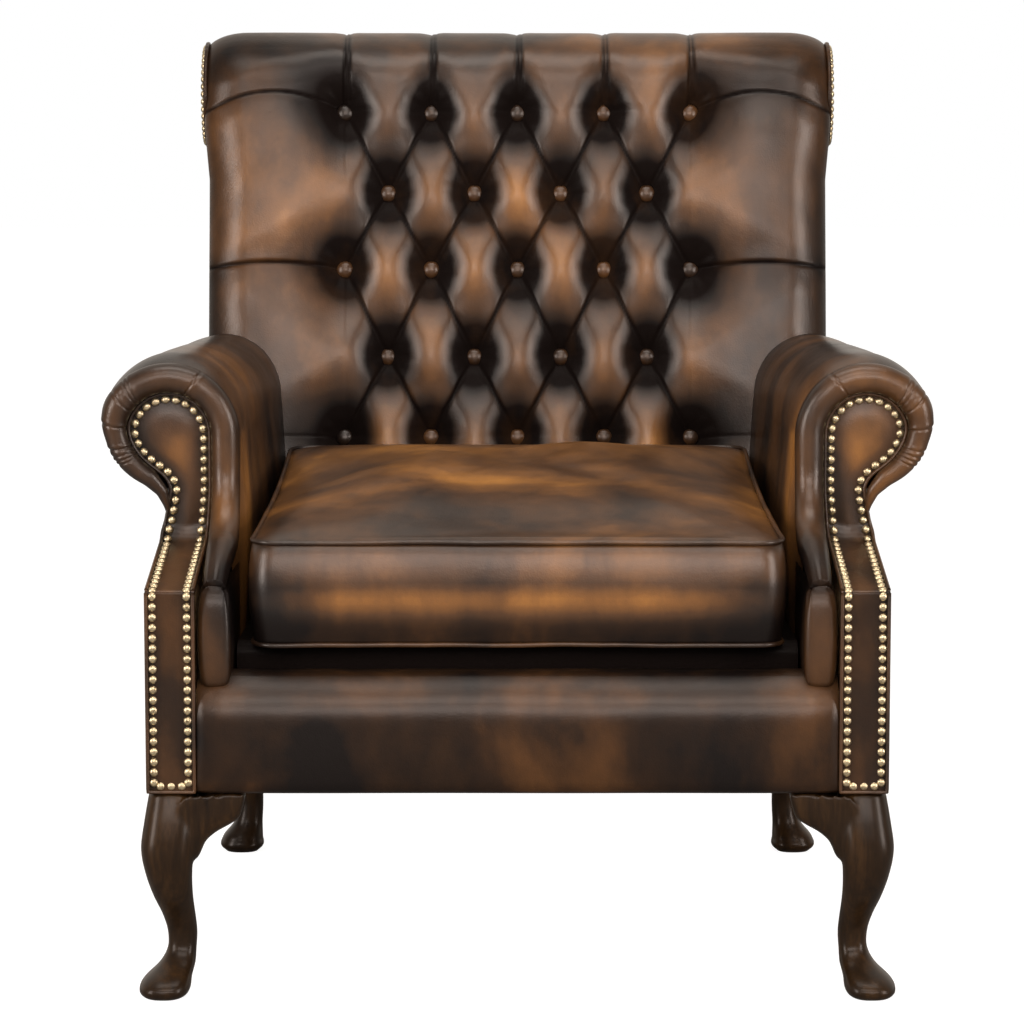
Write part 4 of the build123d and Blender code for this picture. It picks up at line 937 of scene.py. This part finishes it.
def scroll_panel(side, sign):
    """Arm facing with its outer edge drawn in and its leather padded inside the nails."""
    panel = softened(f"{side}_arm_facing", f"{side}_scroll_panel", 1.6, 5)
    pts = points_of(panel) / MM
    pts[:, 0], pts[:, 2] = drawn_in(pts[:, 0], pts[:, 2])
    pts[:, 1] -= FRONT
    edge = np.full(len(pts), 99.0)
    for spot in facing_path(0.0, 0.0, sign, 4.0):
        edge = np.minimum(edge, np.linalg.norm(pts - spot, axis=1))
    z = pts[:, 2]
    lift = 3.6 * (1 - bell(np.clip(edge - 8, 0, None), 13.0)) * (pts[:, 1] < SET_BACK + 3)
    middle = bell(z - 545.0, 26.0) * bell(np.abs(pts[:, 0]) - 352.0, 20.0)
    pts[:, 1] += FRONT - lift * np.clip((z - 452.0) / 20.0, 0.25, 1)
    put_points(panel, pts * MM)
    set_wear(panel.data, 0.15 + (0.20 + 0.30 * middle) * clamp((edge - 5) / 16))
    dress(panel, hide, [f"{side}_arm_facing"], fill=1.0)


def post_panel(side):
    front = softened(f"{side}_post_facing", f"{side}_post_panel", 1.6, 4)
    pts = points_of(front)
    mid = np.abs(np.abs(pts[:, 0]) / MM - (POST_IN + POST_OUT) / 2)
    pts[:, 1] -= 1.6 * MM * clamp((20 - mid) / 14) * (pts[:, 1] / MM - FRONT < 4)
    put_points(front, pts)
    set_wear(front.data, 0.11 + 0.10 * clamp((22 - mid) / 14))
    dress(front, hide, [f"{side}_post_facing"], fill=1.0)


def back_end(side):
    """Round end panel of the back's roll."""
    disc = softened(f"{side}_back_facing", f"{side}_back_end", 1.5, 4)
    pts = points_of(disc) / MM
    r = np.hypot(pts[:, 1] - FRONT - ROLL_D, pts[:, 2] - ROLL_Z)
    set_wear(disc.data, 0.15 + 0.35 * clamp((56 - r) / 30))
    dress(disc, hide, [f"{side}_back_facing"], fill=1.0)


NAIL_INSET, WELT_R, END_NAILS, END_R = 8.0, 1.9, 39, 54.0
for side, sign in SIDES:
    scroll_panel(side, sign)
    post_panel(side)
    paths = [facing_path(WELT_R, 1.0, sign), post_path(WELT_R, 1.0, sign)]
    cords = [tube("cord", path, WELT_R, 10, wear=0.42) for path in paths]
    dress(join(f"{side}_welt", cords), hide_dark, [f"{side}_facing_piping"], "piping_leather")
    heads = []
    for spot in spaced(facing_path(NAIL_INSET, 0.0, sign, 1.5)):
        heads.append((spot, (0, -SLOPE, 1) if spot[1] < SET_BACK - 8 else (0, -1, 0)))
    heads += [(spot, (0, -1, 0)) for spot in spaced(post_path(NAIL_INSET, 0.0, sign))]
    nail_heads(f"{side}_arm_nail_heads", heads, f"{side}_arm_nails")
    ring = []
    for a in ring_turns(END_NAILS):
        ring.append(((sign * 361.0, ROLL_D + END_R * cos(a), ROLL_Z + END_R * sin(a)), (sign, 0, 0)))
    nail_heads(f"{side}_back_nail_heads", ring, f"{side}_back_nails")
    back_end(side)


# Front border
def front_border():
    """Padded leather over the front rail, drawn in at its two ends."""
    end_x = 325.4
    profile = [(58.0, 317.5), (58.0, 331.0), (44.0, 333.0), (34.0, 333.0), (27.0, 332.6)]
    profile += [(-4.0 + 27.0 * t**2.8, 280.0 + 52.0 * t) for t in np.linspace(0.97, 0.0, 44)]
    profile += [(-4.0, z) for z in np.linspace(277, 222, 18)]
    profile += [(-2.5, 216.0), (1.0, 212.6), (12.0, 212.4), (22.0, 212.4)]
    pts, wear = [], []
    for x in np.linspace(-end_x, end_x, 150):
        end = min(1.0, (end_x - abs(x)) / 26.0)
        pinch = 1 - end**0.6
        row, shade = [], []
        for depth, z in profile:
            front = clamp((24 - depth) / 24)
            mid = max(0.0, sin(pi * clamp((z - 212) / 118)))
            d = depth - 4.5 * mid * front * end**0.4 + pinch * 3.5 * front
            z -= pinch * 5.0 * max(0.0, (z - 300) / 30)
            d += rough((x, d, z), 0.008, 6.0) * 1.6 * front
            row.append((x, d, z))
            # painted highlight: a lighter band along the rounded top, near z 312
            shade.append(0.11 + 0.06 * mid * end + 0.17 * bell(z - 312, 17))
        pts.append(row)
        wear.append(shade)
    return grid("padded_front_border", pts, wear, flip=True)


dress(front_border(), hide, ["front_border"], fill=0.9)


# Seat cushion
CORNER_R, SEAM_IN = 26.0, 2.4
TOP_RINGS, SIDE_RINGS, UNDER_RINGS = 44, 18, 30


def cushion_edge(count=64):
    """Seam line in plan, drawn in between rounded corners, as (x, depth)."""
    half_back = CUSH_HALF - CUSH_TAPER
    # each corner: x, depth, and the sides that it lies on
    corners = [
        (CUSH_HALF, CUSH_FRONT, 1, -1),
        (half_back, CUSH_BACK, 1, 1),
        (-half_back, CUSH_BACK, -1, 1),
        (-CUSH_HALF, CUSH_FRONT, -1, -1),
    ]
    pts = []
    for i, (x, d, sx, sd) in enumerate(corners):
        start = -90 + 90 * i
        for a in np.radians(np.linspace(start, start + 90, 9)):
            pts.append((x + CORNER_R * (cos(a) - sx), d + CORNER_R * (sin(a) - sd)))
        nx, nd, nsx, nsd = corners[(i + 1) % 4]
        begin = np.array(pts[-1])
        end = np.array([nx, nd - nsd * CORNER_R] if i % 2 == 0 else [nx - nsx * CORNER_R, nd])
        normal = np.array([end[1] - begin[1], -(end[0] - begin[0])])
        normal /= np.linalg.norm(normal)
        pull = 1.2 if i == 1 else 4.0
        for t in np.linspace(0, 1, count)[1:-1]:
            pts.append(tuple(begin + t * (end - begin) - normal * pull * sin(pi * t)))
    return np.array(pts)


def seam_rise(ring):
    """The top seam stands higher towards the back, where the cushion is fuller."""
    return 25.0 * clamp((ring[:, 1] - 60.0) / 500.0) ** 1.2


def cushion_body():
    """Closed cover of rings round the seam: top panel, boxed sides, underside."""
    edge = cushion_edge()
    centre = edge.mean(0)
    from_centre = edge - centre
    high = CUSH_TOP - SEAM_IN + seam_rise(edge)
    low = CUSH_LOW + SEAM_IN
    ahead = 0.040 * clamp(-from_centre[:, 1] / 120.0)
    swollen = np.column_stack([np.full(len(edge), 0.016), ahead])
    rings = []
    for t in np.linspace(0.03, 1.0, TOP_RINGS):
        ring = centre + from_centre * t
        rings.append(np.column_stack([ring, CUSH_TOP - SEAM_IN + 40.0 * (1 - t**3.0) + seam_rise(ring)]))
    for t in np.linspace(0, 1, SIDE_RINGS + 2)[1:-1]:
        belly = sin(pi * t**0.8) ** 0.9
        ring = centre + from_centre * (1 + belly * swollen)
        rings.append(np.column_stack([ring, high + t * (low - high)]))
    for t in np.linspace(1.0, 0.03, UNDER_RINGS):
        ring = centre + from_centre * t
        rings.append(np.column_stack([ring, np.full(len(edge), low - 2.0 * (1 - t**6))]))
    pts = np.array(rings)
    obj = grid("seat_cushion", pts, np.zeros(pts.shape[:2]), close_cols=True, flip=True)
    bm = bmesh.new()
    bm.from_mesh(obj.data)
    holes = [e for e in bm.edges if e.is_boundary]
    bmesh.ops.contextual_create(bm, geom=holes[: len(edge)])
    bmesh.ops.holes_fill(bm, edges=[e for e in bm.edges if e.is_boundary], sides=0)
    bm.to_mesh(obj.data)
    bm.free()
    return obj, edge, pts.shape[:2]


def inflate(obj, rows, cols):
    """Pressure from inside, with the top seam and the underside held; smoothed afterwards."""
    held = [TOP_RINGS - 1, *range(TOP_RINGS + SIDE_RINGS, rows)]
    group = obj.vertex_groups.new(name="pin")
    group.add([row * cols + k for row in held for k in range(cols)], 1.0, "REPLACE")
    cover = obj.modifiers.new("Cloth", "CLOTH").settings
    values = {
        "quality": 5,
        "use_pressure": True,
        "uniform_pressure_force": 4.0,
        "vertex_group_mass": "pin",
        "tension_stiffness": 25.0,
        "compression_stiffness": 14.0,
        "shear_stiffness": 14.0,
        "bending_stiffness": 2.5,
        "shrink_min": -0.004,
    }
    for key, value in values.items():
        setattr(cover, key, value)
    cover.effector_weights.gravity = 0.0
    rest = points_of(obj)
    for step in range(1, 19):
        bpy.context.scene.frame_set(step)
    deps = bpy.context.evaluated_depsgraph_get()
    moved = mesh_points(obj.evaluated_get(deps).to_mesh()) - rest
    length = np.linalg.norm(moved, axis=1, keepdims=True)
    most = 0.008
    moved *= np.minimum(1.0, most / np.maximum(length, 1e-9))
    moved *= np.clip((CUSH_BACK + FRONT - 6 - rest[:, 1:2] / MM) / 40.0, 0.1, 1)
    body = moved[: rows * cols].reshape(rows, cols, 3)
    for _ in range(24):
        eased(body, 1)
        body[:] = (np.roll(body, 1, 1) + 2 * body + np.roll(body, -1, 1)) / 4
    # the middle of the top moves as one, so that no star shows there
    middle = 13
    calm = body[:middle].mean(axis=(0, 1))
    for i in range(middle):
        share = (i / middle) ** 2 * (3 - 2 * i / middle)
        body[i] = calm + (body[i] - calm) * share
    obj.modifiers.clear()
    put_points(obj, rest + moved)
    bpy.context.scene.frame_set(1)


def settle(obj, cols):
    """The sitter's hollow, slack folds, and the leather kept off the foam inside."""
    pts = points_of(obj)
    z = pts[:, 2] / MM
    depth = pts[:, 1] / MM - FRONT
    top = np.arange(len(pts)) < (TOP_RINGS + 1) * cols
    hollow = bell(pts[:, 0], 0.17) * bell(depth - 300, 170) * 3.0
    waves = np.array([rough((p[0] / MM, (p[1] / MM) * 0.8, 0), 0.010, 11.0) for p in pts]) * 2.0
    fold = bell(depth - 95.0, 34.0) * np.cos(pts[:, 0] / 0.16) * 1.4
    pts[:, 2] += np.where(top, (waves - hollow - fold) * MM * clamp((z - CUSH_TOP + 2) / 10), 0)
    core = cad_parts["cushion_foam"]
    for i in np.flatnonzero(z > CUSH_TOP - 3.5):
        hit, spot, _, _ = core.ray_cast(Vector((pts[i, 0], pts[i, 1], 0.6)), Vector((0, 0, -1)))
        if hit:
            pts[i, 2] = max(pts[i, 2], spot.z + 0.0035)
    put_points(obj, pts)
    z = pts[:, 2] / MM
    wide = clamp(1 - (np.abs(pts[:, 0]) / 0.27) ** 4)
    # front face: an amber band at mid height, a painted highlight towards the top seam, darker below
    band = bell(z - 408.0, 18.0) * 0.55 * (0.30 + 0.70 * wide)
    upper = clamp((z - 405.0) / 30.0) * 0.34
    front = np.where(depth < 120, 0.12 + np.maximum(band, upper), 0.18)
    # top: amber patches towards the back, a painted highlight band across it near depth 215, darker near
    # the front edge
    streaks = 0.26 * bell(depth - 430.0, 110.0) + 0.16 * bell(depth - 215.0, 60.0)
    crown = 0.40 + streaks - 0.10 * bell(depth - 80.0, 60.0)
    for layer in list(obj.data.color_attributes):
        obj.data.color_attributes.remove(layer)
    set_wear(obj.data, np.where(top, crown, front))
    obj.data.shade_smooth()


cushion, seam, cushion_grid = cushion_body()
inflate(cushion, *cushion_grid)
settle(cushion, cushion_grid[1])
dress(cushion, hide_seat, ["cushion_cover"], body="cushion", fill=0.85)

out = seam - seam.mean(0)
out /= np.linalg.norm(out, axis=1)[:, None]
for name, heights in (("top", CUSH_TOP - SEAM_IN + seam_rise(seam)), ("bottom", CUSH_LOW + SEAM_IN)):
    line = np.column_stack([seam, np.zeros(len(seam)) + heights])
    line[:, :2] += out * 1.5
    line[:, 2] += np.array([rough(p, 0.02, 8.0) for p in line]) * 0.9
    piping = tube(f"cushion_welt_{name}", line, 2.5, 12, wear=0.40, closed=True)
    dress(piping, hide_dark, [f"cushion_piping_{name}"], "piping_leather", "cushion")


# Legs
def leg(name, shares, width, x0, d0, square=2.6, rows=70, sides=40):
    """Swept right-hand leg from rows of height, aside, behind, width across and width along."""
    table = np.array(shares)
    pts = []
    for level in np.concatenate([np.linspace(0, 0.12, 22)[:-1], np.linspace(0.12, 1, rows)]):
        aside, behind, across, along = (spline(table[:, 0], table[:, k], level) for k in range(1, 5))
        ring = []
        for a in ring_turns(sides):
            cx = copysign(abs(cos(a)) ** (2 / square), cos(a)) * across / 2
            cd = copysign(abs(sin(a)) ** (2 / square), sin(a)) * along / 2
            ring.append((x0 + (aside + cx) * width, d0 + (behind + cd) * width, level * LEG_H))
        pts.append(ring)
    return capped(grid(name, pts, close_cols=True))


# each row: share of the height, then the shares of the leg's width that leg() names
FRONT_LEG = [
    (1.000, -0.08, -0.04, 0.84, 0.88),
    (0.850, -0.05, -0.16, 0.98, 1.00),
    (0.720, 0.00, -0.24, 1.00, 1.00),
    (0.600, -0.02, -0.22, 0.88, 0.90),
    (0.480, -0.09, -0.08, 0.74, 0.78),
    (0.380, -0.18, 0.10, 0.62, 0.66),
    (0.280, -0.24, 0.20, 0.56, 0.58),
    (0.200, -0.22, 0.16, 0.56, 0.60),
    (0.140, -0.14, 0.00, 0.70, 0.76),
    (0.085, 0.02, -0.24, 0.90, 1.04),
    (0.045, 0.07, -0.32, 0.98, 1.18),
    (0.018, 0.08, -0.34, 0.90, 1.10),
    (0.000, 0.08, -0.34, 0.70, 0.90),
]
REAR_LEG = [
    (1.000, 0.00, 0.00, 1.00, 0.96),
    (0.700, -0.10, 0.10, 0.82, 0.82),
    (0.420, -0.18, 0.26, 0.68, 0.68),
    (0.240, -0.20, 0.34, 0.64, 0.64),
    (0.150, -0.12, 0.32, 0.76, 0.76),
    (0.075, 0.02, 0.24, 1.06, 1.04),
    (0.025, 0.04, 0.22, 1.10, 1.08),
    (0.000, 0.04, 0.22, 0.84, 0.84),
]
# ear bracket: how deep it hangs at its reach out from inside the leg
EAR_REACH = [0.0, 19.0, 25.0, 37.0, 52.0, 61.0, 67.5]
EAR_DROP = [76.0, 70.0, 52.0, 42.0, 34.0, 28.0, 3.0]


def ear(name, along_x):
    """Shaped bracket that dies into the knee, along the front rail or the side rail."""
    tip = EAR_REACH[-1]
    pts = []
    for reach in np.concatenate([np.linspace(tip, 60.0, 12), np.linspace(60.0, 0.0, 30)[1:]]):
        drop = np.interp(reach, EAR_REACH, EAR_DROP)
        thick = 14.0 + 9.0 * (1 - reach / tip) ** 2
        row = []
        for a in np.linspace(0, pi, 21):
            off = thick * copysign(abs(cos(a)) ** 0.7, cos(a))
            z = LEG_H - 0.2 - drop * abs(sin(a)) ** 0.45
            if along_x:
                row.append((344.0 - reach, 17.0 + off, z))
            else:
                row.append((357.0 + off * 0.85, 36.0 + reach * 0.9, z))
        pts.append(row)
    return capped(grid(name, eased(np.array(pts), 2)))


front_leg = [leg("leg", FRONT_LEG, 54.0, 357.0, 26.0), ear("ear_x", True), ear("ear_y", False)]
both_sides(
    evened(join("right_cabriole_leg", front_leg), 1.9, 24),
    "cabriole_leg", material=mahogany, slot="leg_wood", nodes="front_{}_leg",
)
both_sides(
    leg("right_swept_leg", REAR_LEG, 44.0, 321.0, 678.0, square=2.4),
    "swept_leg", material=mahogany, slot="leg_wood", nodes="rear_{}_leg",
)


# Plain panels and inner frame
def panel_copy(node, name, voxel=4.0):
    """Softened copy of a flat leather panel."""
    obj = softened(node, name, voxel, 4)
    tone = np.array([rough(p / MM, 0.006, 13.0) for p in points_of(obj)]) * 0.12
    set_wear(obj.data, 0.26 + tone)
    dress(obj, hide_plain, [node])


for side in ("left", "right"):
    panel_copy(f"{side}_outside_arm", f"{side}_outer_panel")
    panel_copy(f"{side}_back_side", f"{side}_back_edge", 3.0)
panel_copy("outside_back", "rear_panel")

# The first word found in a node's name decides; visual pieces stand for the legs and nails
MATERIALS = [
    ("webbing", jute),
    ("dust_cover", black_cloth),
    ("seat_deck", hide_hidden),
    ("leg_bolts", steel),
    ("cushion_foam", foam_mat),
    ("zip_tape", tape_cloth),
    ("zip_", zip_brass),
    ("leg", None),
    ("nails", None),
    ("facing", hide_plain),
    ("rail", beech),
    ("post", beech),
    ("stump", beech),
    ("slat", beech),
    ("block", beech),
    ("", hide_plain),
]
for node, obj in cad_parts.items():
    material = next(chosen for word, chosen in MATERIALS if word in node)
    if material:
        obj.data.materials.clear()
        obj.data.materials.append(material)


# Stage, light, camera
def backdrop():
    """Floor that the camera sees as plain white and that throws little light back."""
    far = 9
    mesh = bpy.data.meshes.new("studio_floor")
    corners = [(-far, -far, 0), (far, -far, 0), (far, far, 0), (-far, far, 0)]
    mesh.from_pydata(corners, [], [(0, 1, 2, 3)])
    obj = placed("studio_floor", mesh)
    n = Nodes("white_floor")
    n.tree.nodes.remove(n.shader)
    path = n.add("ShaderNodeLightPath")
    white = n.add("ShaderNodeEmission", {"Color": (0.92, 0.92, 0.92, 1), "Strength": 1.0})
    shade = n.add("ShaderNodeBsdfDiffuse", {"Color": (0.26, 0.26, 0.26, 1)})
    dark = n.add("ShaderNodeEmission", {"Color": (0, 0, 0, 1), "Strength": 1.0})
    glow = n.add("ShaderNodeMixShader", {0: (path, "Is Camera Ray"), 1: dark, 2: white})
    n.set(n.tree.nodes["Material Output"], "Surface", n.add("ShaderNodeAddShader", {0: glow, 1: shade}))
    obj.data.materials.append(n.mat)


def studio_world():
    """White screen behind the chair, a dim warm room in front of it."""
    world = bpy.data.worlds.new("studio")
    bpy.context.scene.world = world
    world.use_nodes = True
    n = Nodes(tree=world.node_tree)
    parts = n.add("ShaderNodeSeparateXYZ", {0: (n.add("ShaderNodeTexCoord"), "Generated")})
    seen = (n.add("ShaderNodeLightPath"), "Is Camera Ray")
    span = {"Value": (parts, "Y"), "From Min": -0.1, "From Max": 0.5, "To Min": 0.07, "To Max": 0.95}
    light = n.add("ShaderNodeMapRange", span)
    tones = {"Fac": seen, "Color1": (1.0, 0.90, 0.80, 1), "Color2": (1, 1, 1, 1)}
    screen = n.tree.nodes["Background"]
    n.set(screen, "Color", n.add("ShaderNodeMixRGB", tones))
    n.set(screen, "Strength", n.math("MAXIMUM", light, seen))


def area(name, place, target_z, size, power, colour, shine=True):
    """Soft lamp aimed at a height on the chair's axis."""
    lamp = bpy.data.lights.new(name, "AREA")
    lamp.shape = "RECTANGLE"
    lamp.size, lamp.size_y = size
    lamp.energy = power
    lamp.color = colour
    obj = placed(name, lamp)
    obj.location = place
    obj.rotation_euler = (Vector((0, 0, target_z)) - Vector(place)).to_track_quat("-Z", "Y").to_euler()
    obj.visible_glossy = shine


backdrop()
studio_world()
area("key_top", (0.0, -0.4, 3.2), 0.5, (2.4, 1.0), 38, (1.0, 0.90, 0.82))
area("high_front", (0.0, -2.6, 3.3), 0.45, (2.6, 1.0), 46, (1.0, 0.88, 0.80))
area("low_front", (0.0, -3.5, 1.75), 0.4, (3.0, 0.8), 60, (1.0, 0.87, 0.80))
area("left_strip", (-2.7, -2.0, 1.2), 0.6, (0.9, 2.0), 66, (1.0, 0.87, 0.79))
area("right_strip", (2.7, -2.0, 1.2), 0.6, (0.9, 2.0), 66, (1.0, 0.87, 0.79))
area("matt_fill", (0.0, -4.0, 2.0), 0.45, (3.0, 1.6), 85, (1.0, 0.92, 0.82), shine=False)

# The camera as recovered from the photo: distance (mm), height (m), fall (degrees), lens (mm)
CAMERA_BACK, CAMERA_HEIGHT, CAMERA_FALL, CAMERA_LENS = 4469.0, 1.1613, 8.4, 157.89
camera = bpy.data.cameras.new("camera")
camera.lens = CAMERA_LENS
camera.sensor_width = 36.0
camera.shift_x = -0.00537
camera.clip_end = 60
cam = placed("camera", camera)
cam.location = (0.0, (FRONT - CAMERA_BACK) * MM, CAMERA_HEIGHT)
cam.rotation_euler = (radians(90 - CAMERA_FALL), 0, 0)
bpy.context.scene.camera = cam
bpy.context.scene.view_settings.view_transform = "Standard"
